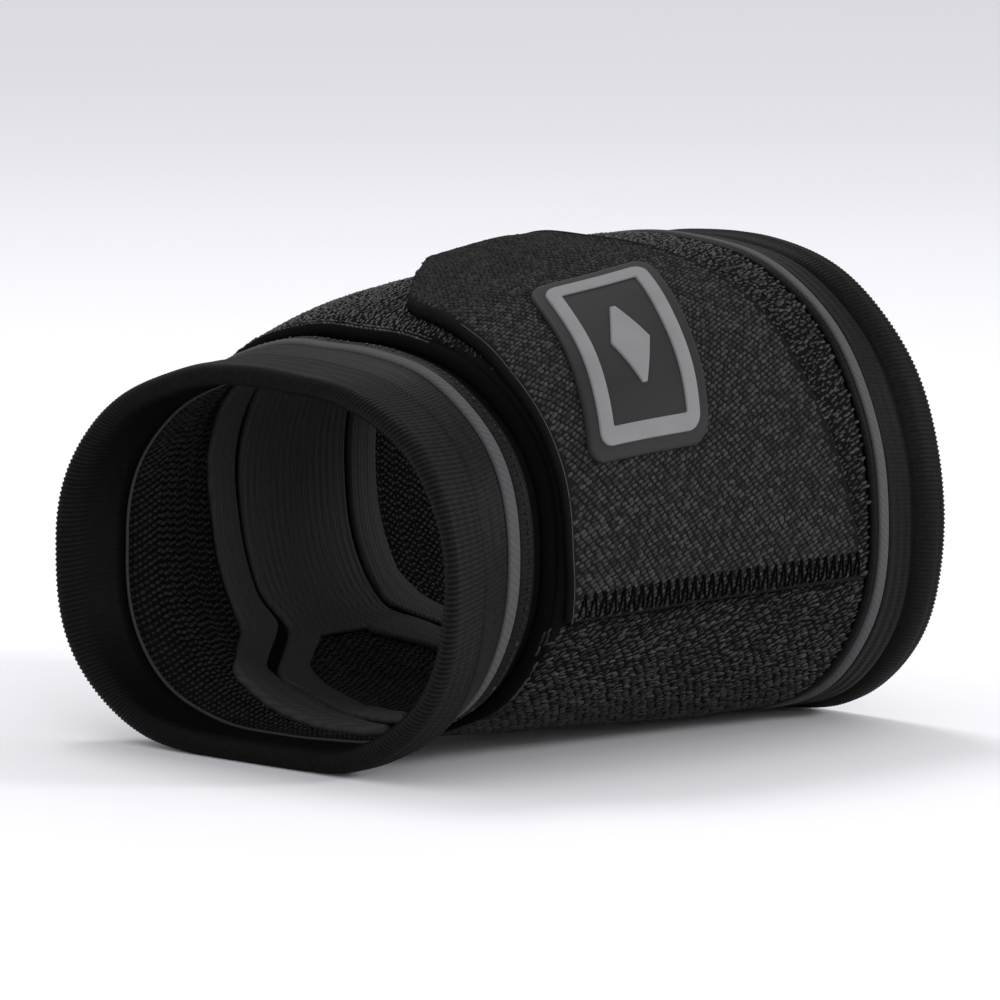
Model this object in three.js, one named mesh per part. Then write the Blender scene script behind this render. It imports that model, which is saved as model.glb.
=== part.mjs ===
// A knitted wrist sleeve with a sewn-on strap, empty and lying on its broad side.
// X runs along the sleeve from the wrist end to the forearm end, the front faces -Y, and Z is up.
// Lengths are millimetres and angles degrees. Angles run round the sleeve from the front:
// 0 is the front, 90 the top, 180 the back and 270 the underside.
// "at" is a distance along the sleeve from the wrist lip, and "out" a distance outside its form.

import * as THREE from 'three';

// The sleeve's form, a row for each section: at, half width, how far its middle stands back, half height,
// middle's height, lean (how far its top stands towards the forearm end), and the powers of its lower half,
// upper front and upper back. A power of 2 makes an ellipse, and more a squarer section.
const SECTIONS = [
  [0, 37.8, 1.9, 25.5, 24.9, 0.4, 2.48, 2.4, 2.15], // wrist lip
  [7, 34.6, 0.5, 25.4, 26.1, 0.4, 2.7, 2.4, 2.05], // wrist welt
  [12, 33.6, 0, 24.9, 27.7, 0.2, 2.4, 2.4, 2.2], // wrist stripe
  [15.5, 34.2, 0, 25.0, 28.3, -0.2, 2.34, 2.34, 2.25], // wrist cuff's end
  [19, 35.4, 0, 26.2, 29.0, -0.4, 2.34, 2.34, 2.25], // body's start
  [45, 36.0, 0, 29.5, 31.15, -1.8, 2.34, 2.34, 2.34], // middle
  [62, 36.2, 0, 31.0, 32.2, -2.7, 2.34, 2.34, 2.34], // fullest
  [74, 35.8, 0, 31.2, 32.3, -3.3, 2.34, 2.34, 2.34], // forearm stripe
  [81.5, 35.2, 0, 31.2, 31.8, -3.8, 2.34, 2.34, 2.2], // rim's foot
  [87, 35.9, 0, 31.9, 31.6, -4.2, 2.2, 2.35, 2.1], // forearm rim
];
const SIDES = 54; // facets round a ring
const ANGLE_STEP = 360 / SIDES;
const REST_LEVEL = 0.6; // what would lie lower is pressed flat by the surface under it
const GAP = 0.3; // between neighbouring pieces

// Knit layers.
const CUFF_WALL = 1; // a cuff's outer layer, over the tucked end of the body
const TUCK_WALL = 1; // the body's end, tucked inside a cuff
const TUCK_OUT = -(CUFF_WALL + GAP);
const BODY_WALL = CUFF_WALL + GAP + TUCK_WALL;
const LIP_WALL = 2.7; // a cuff's doubled and rolled edge
const LIP_ROUND = LIP_WALL / 2;
const ROLL_STEPS = 4;

// Places along the sleeve.
const WELT_END = 6.6;
const WRIST_STRIPE_AT = 12;
const WRIST_CUFF_END = 15.3;
const BODY_START = 18.4;
const BODY_END = 72.6;
const FOREARM_STRIPE_AT = 75.1;
const RIM_GROOVE_AT = 81.4;
const RIM_WELT_START = 80.4;
const RIM_SWELL_AT = 84.4;
const RIM_END = 87;
const BODY_STEPS = 6;

// Small shapes of the surface.
const BODY_EDGE_ROUND = 0.6;
const RIM_GROOVE = { depth: 0.9, halfWidth: 0.8 };
const RIM_SWELL = 0.4;

// Stripes lie in shallow channels of the cuffs.
const STRIPE_WIDTH = 1.5;
const STRIPE_THICKNESS = 0.5;
const CHANNEL_DEPTH = 0.5;

// The bead that hems the body's near edge.
const HEM_BEAD = { at: 17.25, out: -0.45, halfWidth: 0.9, halfHeight: 0.75, sides: 8 };

// The strap, a row for each change of its edges, from the sewn edge at the front over the top to its end.
const STRAP_THICKNESS = 1.5;
const STRAP_THINNING = { from: 0.65, by: 0.5 }; // from a share of its width to its far edge
const STRAP_BEVEL = 0.5;
const STRAP_COLUMNS = 8;
const STRAP_EDGES = [
  { angle: -14, near: 19.4, far: 69.5 }, // sewn edge
  { angle: 0, near: 18.6, far: 67.5 },
  { angle: 20, near: 18.4, far: 64.0 },
  { angle: 40, near: 18.8, far: 62.5 },
  { angle: 60, near: 20.4, far: 60.5 },
  { angle: 76, near: 21.4, far: 58.0 },
  { angle: 84, near: 23.2, far: 57.2 }, // near corner
  { angle: 96, near: 30.3, far: 57.8 },
  { angle: 104, near: 35.8, far: 58.8 },
  { angle: 112, near: 41.3, far: 60.5 }, // the tongue runs on towards the forearm end
  { angle: 121, near: 47.5, far: 63.5 },
  { angle: 130, near: 52.6, far: 67.0 },
  { angle: 140, near: 55.5, far: 69.5 },
  { angle: 200, near: 56.0, far: 70.0 },
  { angle: 208, near: 57.2, far: 68.8 }, // rounded end
  { angle: 213, near: 60.0, far: 66.0 },
];

// The patch on the strap, with its raised frame and lozenge. Heights run round the sleeve.
const PATCH_AT = 37.6;
const PATCH_ANGLE = 38.6;
const PATCH_SLANT = 0.35; // shift along the sleeve for each step up round it
const ARC_PER_DEGREE = 0.65;
const PATCH = { halfWidth: 10.6, halfHeight: 15.2, corner: 3, thickness: 0.6 };
const FRAME = { halfWidth: 8.8, halfHeight: 13.4, corner: 2, band: 2.3, thickness: 0.4 };
const LOZENGE = { halfWidth: 3.4, halfHeight: 6.4, thickness: 0.4 };
const LOZENGE_TIP = 0.12; // half width of its blunt tips, as a share
const CORNER_STEPS = 3;
const SIDE_STEPS = 6;
const PATCH_COLUMNS = 5;
const PATCH_ROWS = 4;
const LOZENGE_COLUMNS = 2;
const LOZENGE_ROWS = 4;

// The raised panel on the inner back wall, a row for each change of its edges, from the top down.
const PANEL_THICKNESS = 0.8;
const PANEL_COLUMNS = 4;
const BAND_COLUMNS = 2;
const PANEL_EDGES = [
  { angle: 118, near: 25.4, far: 44.2 },
  { angle: 178, near: 26.8, far: 44.7 },
  { angle: 204, near: 27.3, far: 45.0 },
  { angle: 210, near: 28.6, far: 45.4 },
  { angle: 213.5, near: 28.8, far: 46.2 },
  { angle: 217, near: 26.9, far: 50.2 },
];
const NEAR_BAND_EDGES = [
  { angle: 118, near: 18.8, far: 24.6 },
  { angle: 170, near: 20.6, far: 25.4 },
  { angle: 184, near: 21.8, far: 26.2 },
  { angle: 204, near: 21.8, far: 26.4 },
  { angle: 211, near: 21.2, far: 27.6 }, // the band turns towards the wrist
  { angle: 213.5, near: 19.6, far: 26.6 },
  { angle: 222, near: 14.1, far: 20.8 },
  { angle: 226, near: 13.1, far: 18.7 },
  { angle: 240, near: 12.0, far: 17.6 },
  { angle: 257, near: 10.9, far: 15.3 },
  { angle: 285, near: 9.3, far: 11.6 },
  { angle: 305, near: 8.7, far: 9.5 },
];
const FAR_BAND_EDGES = [
  { angle: 118, near: 45.2, far: 50.4 },
  { angle: 178, near: 45.6, far: 50.4 },
  { angle: 204, near: 45.9, far: 51.0 },
  { angle: 211, near: 46.4, far: 53.2 }, // the band turns towards the forearm
  { angle: 218, near: 52.2, far: 57.6 },
  { angle: 222, near: 54.6, far: 59.8 },
  { angle: 238, near: 56.0, far: 61.0 },
  { angle: 265, near: 58.0, far: 62.2 },
  { angle: 285, near: 59.6, far: 62.8 },
];
const NEAR_ARM_EDGES = [
  { angle: 217.6, near: 26.5, far: 32.5 },
  { angle: 222, near: 23.6, far: 29.4 },
  { angle: 226, near: 20.9, far: 26.8 },
  { angle: 230, near: 19.5, far: 25.6 },
  { angle: 239, near: 19.3, far: 24.3 },
  { angle: 260, near: 15.9, far: 21.6 },
  { angle: 280, near: 12.8, far: 16.6 },
  { angle: 308, near: 10.5, far: 11.5 },
];
const FAR_ARM_EDGES = [
  { angle: 217.6, near: 41.2, far: 50.8 },
  { angle: 220, near: 43.4, far: 52.2 },
  { angle: 223, near: 46.6, far: 53.8 },
  { angle: 226, near: 48.8, far: 54.2 },
  { angle: 238, near: 50.8, far: 55.4 },
  { angle: 265, near: 53.4, far: 57.2 },
  { angle: 285, near: 55.6, far: 58.6 },
];

const BLACK_KNIT = { color: 0x1d1d1f, roughness: 0.9, metalness: 0 };
const SMOOTH_KNIT = { color: 0x232326, roughness: 0.75, metalness: 0 };
const PALE_YARN = { color: 0x6a6a6c, roughness: 0.8, metalness: 0 };
const STRAP_WEAVE = { color: 0x303032, roughness: 0.85, metalness: 0 };
const DARK_RUBBER = { color: 0x3a3a3b, roughness: 0.55, metalness: 0 };
const PALE_RUBBER = { color: 0x868688, roughness: 0.5, metalness: 0 };

// The form's sizes at any distance along the sleeve.
const sectionPlaces = SECTIONS.map(([at]) => at);
const sectionSizes = SECTIONS.flatMap(([, ...sizes]) => sizes);
const form = new THREE.CubicInterpolant(sectionPlaces, sectionSizes, SECTIONS[0].length - 1);

// A point of the sleeve, pressed flat where it would reach below the rest level.
function sleevePoint({ at, angle, out }) {
  const [halfWidth, setBack, halfHeight, midHeight, lean, ...powers] = form.evaluate(at);
  const [lowerPower, frontPower, backPower] = powers;
  const cosine = Math.cos(THREE.MathUtils.degToRad(angle));
  const sine = Math.sin(THREE.MathUtils.degToRad(angle));
  const upperPower = cosine > 0 ? frontPower : backPower;
  const power = sine > 0 ? upperPower : lowerPower;
  const across = Math.abs(cosine / (halfWidth + out)) ** power;
  const upright = Math.abs(sine / (halfHeight + out)) ** power;
  const radius = (across + upright) ** (-1 / power);
  const height = midHeight + radius * sine;
  const lowest = REST_LEVEL - Math.min(out, 0);
  const shift = (lean * radius * sine) / halfHeight;
  return new THREE.Vector3(at + shift, setBack - radius * cosine, Math.max(height, lowest));
}

function meshGeometry(points, triangles) {
  const geometry = new THREE.BufferGeometry().setFromPoints(points);
  geometry.setIndex(triangles);
  geometry.computeVertexNormals();
  return geometry;
}

// Two triangles for each cell between neighbouring lines of points. A closed mesh also joins the
// last line to the first, and each line's last point to its first.
function cellTriangles(lines, columns, closed) {
  const triangles = [];
  const lastLine = closed ? lines : lines - 1;
  const lastColumn = closed ? columns : columns - 1;
  for (let line = 0; line < lastLine; line++) {
    for (let column = 0; column < lastColumn; column++) {
      const here = line * columns;
      const next = ((line + 1) % lines) * columns;
      const right = (column + 1) % columns;
      triangles.push(here + column, here + right, next + right);
      triangles.push(here + column, next + right, next + column);
    }
  }
  return triangles;
}

// A profile of corners, outer side first from near to far, carried round the sleeve.
function ring(profile) {
  const points = [];
  for (let side = 0; side < SIDES; side++) {
    const angle = side * ANGLE_STEP;
    points.push(...profile.map((corner) => sleevePoint({ ...corner, angle })));
  }
  return meshGeometry(points, cellTriangles(SIDES, profile.length, true));
}

// Rows of a strip's edges, with further rows between them so that it follows the sleeve.
function stripRows(edges) {
  const rows = [edges[0]];
  for (let index = 1; index < edges.length; index++) {
    const from = edges[index - 1];
    const to = edges[index];
    const parts = Math.ceil((to.angle - from.angle) / ANGLE_STEP);
    for (let part = 1; part <= parts; part++) {
      const share = part / parts;
      rows.push({
        angle: THREE.MathUtils.lerp(from.angle, to.angle, share),
        near: THREE.MathUtils.lerp(from.near, to.near, share),
        far: THREE.MathUtils.lerp(from.far, to.far, share),
      });
    }
  }
  return rows;
}

// A slab over the sleeve between two edges, with its outer rim lowered by the bevel. topAt gives its top
// at a share of its width.
function slab(rows, columns, bottom, topAt, bevel) {
  const lastRow = rows.length - 1;
  const across = columns + 1;
  const layer = (outAt) => rows.flatMap(({ angle, near, far }, row) => (
    Array.from({ length: across }, (_, column) => {
      const share = column / columns;
      const at = THREE.MathUtils.lerp(near, far, share);
      const rim = row === 0 || row === lastRow || column === 0 || column === columns;
      return sleevePoint({ at, angle, out: outAt(share, rim) });
    })
  ));
  const points = [
    ...layer((share, rim) => topAt(share) - (rim ? bevel : 0)),
    ...layer(() => bottom),
  ];
  const below = rows.length * across;
  const upper = cellTriangles(rows.length, across, false);
  const lower = upper.map((point) => point + below).reverse();
  const border = [];
  for (let column = 0; column < columns; column++) border.push(column);
  for (let row = 0; row < lastRow; row++) border.push(row * across + columns);
  for (let column = columns; column > 0; column--) border.push(lastRow * across + column);
  for (let row = lastRow; row > 0; row--) border.push(row * across);
  const walls = border.flatMap((from, index) => {
    const to = border[(index + 1) % border.length];
    return [from + below, to + below, to, from + below, to, from];
  });
  return meshGeometry(points, [...upper, ...lower, ...walls]);
}

// Half the width of a rounded oblong at a height above its middle.
function oblongHalfWidth({ halfWidth, halfHeight, corner }, height) {
  const intoCorner = Math.max(0, Math.abs(height) - (halfHeight - corner));
  return halfWidth - corner + Math.sqrt(Math.max(0, corner ** 2 - intoCorner ** 2));
}

function patchPlace(across, height, out) {
  const at = PATCH_AT + PATCH_SLANT * height + across;
  return { at, angle: PATCH_ANGLE + height / ARC_PER_DEGREE, out };
}

// Rows of a shape on the patch, whose half width follows its height.
function patchRows(halfHeights, halfWidthAt) {
  return halfHeights.map((height) => {
    const half = halfWidthAt(height);
    const { at, angle } = patchPlace(0, height, 0);
    return { angle, near: at - half, far: at + half };
  });
}

function evenSteps(from, to, parts) {
  return Array.from({ length: parts + 1 }, (_, part) => THREE.MathUtils.lerp(from, to, part / parts));
}

// A closed outline of a rounded oblong on the patch, moved in by an inset. Each straight side is cut
// into steps, so that it follows the sleeve.
function oblongOutline({ halfWidth, halfHeight, corner }, inset, out) {
  const round = Math.max(corner - inset, GAP);
  const centres = [[1, -1], [1, 1], [-1, 1], [-1, -1]];
  const arcs = centres.map(([right, up], quarter) => (
    evenSteps(quarter * 90 - 90, quarter * 90, CORNER_STEPS).map((turn) => {
      const radians = THREE.MathUtils.degToRad(turn);
      return new THREE.Vector2(
        right * (halfWidth - inset - round) + round * Math.cos(radians),
        up * (halfHeight - inset - round) + round * Math.sin(radians),
      );
    })
  ));
  const outline = arcs.flatMap((arc, quarter) => {
    const sideStart = arc[CORNER_STEPS];
    const sideEnd = arcs[(quarter + 1) % arcs.length][0];
    const shares = evenSteps(0, 1, SIDE_STEPS).slice(1, -1);
    return [...arc, ...shares.map((share) => sideStart.clone().lerp(sideEnd, share))];
  });
  return outline.map(({ x, y }) => sleevePoint(patchPlace(x, y, out)));
}

// A band along a rounded oblong, open in the middle.
function oblongFrame(shape, bottom, top) {
  const sides = [
    oblongOutline(shape, shape.band, top),
    oblongOutline(shape, 0, top),
    oblongOutline(shape, 0, bottom),
    oblongOutline(shape, shape.band, bottom),
  ];
  const points = sides[0].flatMap((_, place) => sides.map((side) => side[place]));
  return meshGeometry(points, cellTriangles(sides[0].length, sides.length, true));
}

function channel(middle) {
  const half = STRIPE_WIDTH / 2 + GAP;
  return [
    { at: middle - half, out: 0 },
    { at: middle - half, out: -CHANNEL_DEPTH },
    { at: middle + half, out: -CHANNEL_DEPTH },
    { at: middle + half, out: 0 },
  ];
}

function stripe(middle) {
  const near = middle - STRIPE_WIDTH / 2;
  const far = middle + STRIPE_WIDTH / 2;
  const bottom = GAP - CHANNEL_DEPTH;
  const top = bottom + STRIPE_THICKNESS;
  return ring([
    { at: near, out: top },
    { at: far, out: top },
    { at: far, out: bottom },
    { at: near, out: bottom },
  ]);
}

// The rolled edge of a cuff, from its inner side round its tip to its outer side.
// inward is the direction from the tip into the cuff.
function rolledEdge(tip, inward) {
  return evenSteps(-90, 90, ROLL_STEPS).map((turn) => {
    const radians = THREE.MathUtils.degToRad(turn);
    return {
      at: tip + inward * LIP_ROUND * (1 - Math.cos(radians)),
      out: LIP_ROUND * Math.sin(radians) - LIP_ROUND,
    };
  });
}

function wristCuff() {
  return ring([
    ...rolledEdge(0, 1),
    { at: WELT_END / 2, out: 0 },
    { at: WELT_END, out: 0 },
    ...channel(WRIST_STRIPE_AT),
    { at: WRIST_CUFF_END, out: 0 },
    { at: WRIST_CUFF_END, out: -CUFF_WALL },
    { at: WRIST_STRIPE_AT, out: -CUFF_WALL },
    { at: WELT_END, out: -CUFF_WALL },
    { at: WELT_END, out: -LIP_WALL },
    { at: WELT_END / 2, out: -LIP_WALL },
  ]);
}

function hemBead() {
  const profile = Array.from({ length: HEM_BEAD.sides }, (_, side) => {
    const turn = Math.PI - (2 * Math.PI * side) / HEM_BEAD.sides;
    return {
      at: HEM_BEAD.at + HEM_BEAD.halfWidth * Math.cos(turn),
      out: HEM_BEAD.out + HEM_BEAD.halfHeight * Math.sin(turn),
    };
  });
  return ring(profile);
}

// The body's knit, with both ends tucked inside the cuffs.
function sleeveBody() {
  const tuckNear = WELT_END + GAP;
  const tuckFar = RIM_WELT_START - GAP;
  const along = evenSteps(BODY_START + BODY_EDGE_ROUND, BODY_END - BODY_EDGE_ROUND, BODY_STEPS);
  return ring([
    { at: tuckNear, out: TUCK_OUT },
    { at: WRIST_STRIPE_AT, out: TUCK_OUT },
    { at: WRIST_CUFF_END, out: TUCK_OUT },
    { at: BODY_START, out: TUCK_OUT },
    { at: BODY_START, out: -BODY_EDGE_ROUND },
    ...along.map((at) => ({ at, out: 0 })),
    { at: BODY_END, out: -BODY_EDGE_ROUND },
    { at: BODY_END, out: TUCK_OUT },
    { at: tuckFar, out: TUCK_OUT },
    { at: tuckFar, out: -BODY_WALL },
    ...along.toReversed().map((at) => ({ at, out: -BODY_WALL })),
    { at: WRIST_CUFF_END, out: -BODY_WALL },
    { at: WRIST_STRIPE_AT, out: -BODY_WALL },
    { at: tuckNear, out: -BODY_WALL },
  ]);
}

function forearmCuff() {
  const start = BODY_END + GAP;
  return ring([
    { at: start, out: 0 },
    ...channel(FOREARM_STRIPE_AT),
    { at: RIM_GROOVE_AT - RIM_GROOVE.halfWidth, out: 0 },
    { at: RIM_GROOVE_AT, out: -RIM_GROOVE.depth },
    { at: RIM_GROOVE_AT + RIM_GROOVE.halfWidth, out: 0 },
    { at: RIM_SWELL_AT, out: RIM_SWELL },
    ...rolledEdge(RIM_END, -1).toReversed(),
    { at: RIM_WELT_START, out: -LIP_WALL },
    { at: RIM_WELT_START, out: -CUFF_WALL },
    { at: start, out: -CUFF_WALL },
  ]);
}

function innerSlab(edges, columns) {
  const top = -BODY_WALL - GAP;
  return slab(stripRows(edges), columns, top - PANEL_THICKNESS, () => top, 0);
}

function patch(bottom) {
  const straight = PATCH.halfHeight - PATCH.corner;
  const intoCorner = evenSteps(0, 90, CORNER_STEPS).slice(1).map((turn) => (
    straight + PATCH.corner * Math.sin(THREE.MathUtils.degToRad(turn))
  ));
  const heights = [
    ...intoCorner.toReversed().map((height) => -height),
    ...evenSteps(-straight, straight, PATCH_ROWS),
    ...intoCorner,
  ];
  const rows = patchRows(heights, (height) => oblongHalfWidth(PATCH, height));
  return slab(rows, PATCH_COLUMNS, bottom, () => bottom + PATCH.thickness, 0);
}

function lozenge(bottom) {
  const heights = evenSteps(-LOZENGE.halfHeight, LOZENGE.halfHeight, LOZENGE_ROWS);
  const rows = patchRows(heights, (height) => {
    const share = 1 - Math.abs(height) / LOZENGE.halfHeight;
    return LOZENGE.halfWidth * THREE.MathUtils.lerp(LOZENGE_TIP, 1, share);
  });
  return slab(rows, LOZENGE_COLUMNS, bottom, () => bottom + LOZENGE.thickness, 0);
}

const strapTop = GAP + STRAP_THICKNESS;
const patchTop = strapTop + GAP + PATCH.thickness;
const strapTopAt = (share) => (
  strapTop - STRAP_THINNING.by * THREE.MathUtils.smoothstep(share, STRAP_THINNING.from, 1)
);
const strapSlab = slab(stripRows(STRAP_EDGES), STRAP_COLUMNS, GAP, strapTopAt, STRAP_BEVEL);
const frameBand = oblongFrame(FRAME, patchTop + GAP, patchTop + GAP + FRAME.thickness);

const PIECES = [
  { name: 'sleeve_body', geometry: sleeveBody(), finish: BLACK_KNIT },
  { name: 'wrist_cuff', geometry: wristCuff(), finish: SMOOTH_KNIT },
  { name: 'wrist_stripe', geometry: stripe(WRIST_STRIPE_AT), finish: PALE_YARN },
  { name: 'hem_bead', geometry: hemBead(), finish: SMOOTH_KNIT },
  { name: 'forearm_cuff', geometry: forearmCuff(), finish: SMOOTH_KNIT },
  { name: 'forearm_stripe', geometry: stripe(FOREARM_STRIPE_AT), finish: PALE_YARN },
  { name: 'strap', geometry: strapSlab, finish: STRAP_WEAVE },
  { name: 'badge_patch', geometry: patch(strapTop + GAP), finish: DARK_RUBBER },
  { name: 'badge_frame', geometry: frameBand, finish: PALE_RUBBER },
  { name: 'badge_lozenge', geometry: lozenge(patchTop + GAP), finish: PALE_RUBBER },
  { name: 'inner_panel', geometry: innerSlab(PANEL_EDGES, PANEL_COLUMNS), finish: SMOOTH_KNIT },
  { name: 'inner_band_near', geometry: innerSlab(NEAR_BAND_EDGES, BAND_COLUMNS), finish: SMOOTH_KNIT },
  { name: 'inner_band_far', geometry: innerSlab(FAR_BAND_EDGES, BAND_COLUMNS), finish: SMOOTH_KNIT },
  { name: 'inner_arm_near', geometry: innerSlab(NEAR_ARM_EDGES, BAND_COLUMNS), finish: SMOOTH_KNIT },
  { name: 'inner_arm_far', geometry: innerSlab(FAR_ARM_EDGES, BAND_COLUMNS), finish: SMOOTH_KNIT },
];

const sleeve = new THREE.Group();
for (const { name, geometry, finish } of PIECES) {
  const mesh = new THREE.Mesh(geometry, new THREE.MeshStandardMaterial(finish));
  mesh.name = name;
  sleeve.add(mesh);
}

// The origin is under the middle of the sleeve, on the surface that it lies on.
const extent = new THREE.Box3().setFromObject(sleeve);
const middle = extent.getCenter(new THREE.Vector3());
sleeve.position.set(-middle.x, -middle.y, -extent.min.z);

export default sleeve;
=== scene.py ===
"""A knitted wrist sleeve with a sewn-on strap, finished over its solids.

Tables hold millimetres and degrees, and points come out in metres. "at" runs along the sleeve from the
wrist lip, "angle" runs round it from the front over the top, and "out" is measured outwards from its form.
"""

import math

import bpy
import numpy as np
from mathutils import Matrix, Vector


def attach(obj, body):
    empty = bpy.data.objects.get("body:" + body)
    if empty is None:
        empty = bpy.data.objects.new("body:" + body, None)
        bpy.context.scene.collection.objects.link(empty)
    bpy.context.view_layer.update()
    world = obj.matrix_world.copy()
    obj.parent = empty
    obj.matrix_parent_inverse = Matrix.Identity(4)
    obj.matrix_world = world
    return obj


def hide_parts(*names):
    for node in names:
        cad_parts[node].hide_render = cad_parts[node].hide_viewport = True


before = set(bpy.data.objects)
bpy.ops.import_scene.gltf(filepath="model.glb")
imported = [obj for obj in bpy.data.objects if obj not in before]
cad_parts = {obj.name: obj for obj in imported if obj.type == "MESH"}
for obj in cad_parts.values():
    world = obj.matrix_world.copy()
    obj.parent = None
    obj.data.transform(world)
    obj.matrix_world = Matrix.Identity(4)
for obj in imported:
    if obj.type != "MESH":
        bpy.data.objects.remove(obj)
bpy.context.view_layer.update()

MM = 0.001

# The camera, at the photograph's viewing angle. Its slide is how far the target stands to the right of
# the picture's middle and above it.
CAMERA_AZIMUTH = -43.54
CAMERA_ELEVATION = 6.36
CAMERA_ROLL = 0.32
CAMERA_TARGET = (-0.322, -0.495, 26.4)
CAMERA_SLIDE = (2.385, -3.55)
CAMERA_DISTANCE = 1080
FOCAL_LENGTH = 303.54
SENSOR_WIDTH = 36
CLIP_END = 20  # metres


def new_object(name, data):
    """An object that stands in the scene."""
    made = bpy.data.objects.new(name, data)
    bpy.context.scene.collection.objects.link(made)
    return made


def make_camera():
    azimuth = math.radians(CAMERA_AZIMUTH)
    elevation = math.radians(CAMERA_ELEVATION)
    roll = math.radians(CAMERA_ROLL)
    level = Vector((math.cos(azimuth), math.sin(azimuth), 0))
    back = Vector((
        math.sin(azimuth) * math.cos(elevation),
        -math.cos(azimuth) * math.cos(elevation),
        math.sin(elevation),
    ))
    upright = back.cross(level)
    right = level * math.cos(roll) + upright * math.sin(roll)
    up = upright * math.cos(roll) - level * math.sin(roll)
    slide = right * CAMERA_SLIDE[0] + up * CAMERA_SLIDE[1]
    place = (Vector(CAMERA_TARGET) - slide + back * CAMERA_DISTANCE) * MM
    data = bpy.data.cameras.new("camera")
    data.lens = FOCAL_LENGTH
    data.sensor_width = SENSOR_WIDTH
    data.clip_end = CLIP_END
    camera = new_object("camera", data)
    camera.matrix_world = Matrix.Translation(place) @ Matrix((right, up, back)).transposed().to_4x4()
    bpy.context.scene.camera = camera


make_camera()

# The sleeve's form, a row for each section: at, half width, how far its middle stands back, half height,
# middle's height, lean, and the powers of its lower half, upper front and upper back.
SECTIONS = np.array([
    (0, 37.8, 1.9, 25.5, 24.9, 0.4, 2.48, 2.4, 2.15),  # wrist lip
    (7, 34.6, 0.5, 25.4, 26.1, 0.4, 2.7, 2.4, 2.05),  # wrist welt
    (12, 33.6, 0, 24.9, 27.7, 0.2, 2.4, 2.4, 2.2),  # wrist stripe
    (15.5, 34.2, 0, 25.0, 28.3, -0.2, 2.34, 2.34, 2.25),  # wrist band's end
    (19, 35.4, 0, 26.2, 29.0, -0.4, 2.34, 2.34, 2.25),  # body's start
    (45, 36.0, 0, 29.5, 31.15, -1.8, 2.34, 2.34, 2.34),  # middle
    (62, 36.2, 0, 31.0, 32.2, -2.7, 2.34, 2.34, 2.34),  # fullest
    (74, 35.8, 0, 31.2, 32.3, -3.3, 2.34, 2.34, 2.34),  # forearm stripe
    (81.5, 35.2, 0, 31.2, 31.8, -3.8, 2.34, 2.34, 2.2),  # rim's foot
    (87, 35.9, 0, 31.9, 31.6, -4.2, 2.2, 2.35, 2.1),  # forearm rim
])
FORM_ORIGIN = np.array((45.321, 0.495, 0.6))  # the part's origin, in the form's own terms
REST_LEVEL = 0.6
REST_BEND = 1.4  # height over which the knit bends flat

# Soft unevenness of the whole knit, a row for each wave: its height, its waves round the sleeve, its turn
# for each millimetre along it and its start.
RIPPLES = (
    (0.16, 3, 0.05, 0.4),
    (0.10, 7, -0.09, 1.9),
    (0.06, 13, 0.16, 0.7),
)

# Knit layers and places along the sleeve.
CUFF_WALL = 1.0
GAP = 0.3
TUCK_WALL = 1.0
BODY_WALL = CUFF_WALL + GAP + TUCK_WALL
LIP_WALL = 2.7
LIP_ROUND = LIP_WALL / 2
WELT_END = 6.6
WRIST_STRIPE_AT = 12.0
EDGE_STITCHES_AT = 14.3
WRIST_CUFF_END = 15.3
BODY_START = 18.4
BODY_END = 72.6
FOREARM_STRIPE_AT = 75.1
RIM_WELT_START = 80.4
RIM_GROOVE_AT = 81.4
RIM_SWELL_AT = 84.4
RIM_END = 87.0

ARC_PER_DEGREE = 0.65  # round the sleeve
FINE_TURN = np.linspace(0, 360, 721)  # angles for measuring a girth
JITTER_SEED = 5

# Strips on the sleeve, a row for each change of their edges: angle, near edge and far edge.
STRAP_EDGES = (
    (-14, 19.4, 69.5),  # sewn edge
    (0, 18.6, 67.5),
    (20, 18.4, 64.0),
    (40, 18.8, 62.5),
    (60, 20.4, 60.5),
    (76, 21.4, 58.0),
    (84, 23.2, 57.2),  # near corner
    (96, 30.3, 57.8),
    (104, 35.8, 58.8),
    (112, 41.3, 60.5),  # the tongue runs on towards the forearm end
    (121, 47.5, 63.5),
    (130, 52.6, 67.0),
    (140, 55.5, 69.5),
    (200, 56.0, 70.0),
    (208, 57.2, 68.8),  # rounded end
    (213, 60.0, 66.0),
)
PANEL_EDGES = (
    (118, 25.4, 44.2),
    (178, 26.8, 44.7),
    (204, 27.3, 45.0),
    (210, 28.6, 45.4),
    (213.5, 28.8, 46.2),
    (217, 26.9, 50.2),
)
NEAR_BAND_EDGES = (
    (118, 18.8, 24.6),
    (170, 20.6, 25.4),
    (184, 21.8, 26.2),
    (204, 21.8, 26.4),
    (211, 21.2, 27.6),  # turns towards the wrist
    (213.5, 19.6, 26.6),
    (222, 14.1, 20.8),
    (226, 13.1, 18.7),
    (240, 12.0, 17.6),
    (257, 10.9, 15.3),
    (285, 9.3, 11.6),
    (305, 8.7, 9.5),
)
FAR_BAND_EDGES = (
    (118, 45.2, 50.4),
    (178, 45.6, 50.4),
    (204, 45.9, 51.0),
    (211, 46.4, 53.2),  # turns towards the forearm
    (218, 52.2, 57.6),
    (222, 54.6, 59.8),
    (238, 56.0, 61.0),
    (265, 58.0, 62.2),
    (285, 59.6, 62.8),
)
NEAR_ARM_EDGES = (
    (214.6, 28.4, 34.2),  # under the panel's end
    (217.6, 26.5, 32.5),
    (222, 23.6, 29.4),
    (226, 20.9, 26.8),
    (230, 19.5, 25.6),
    (239, 19.3, 24.3),
    (260, 15.9, 21.6),
    (280, 12.8, 16.6),
    (308, 10.5, 11.5),
)
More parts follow.
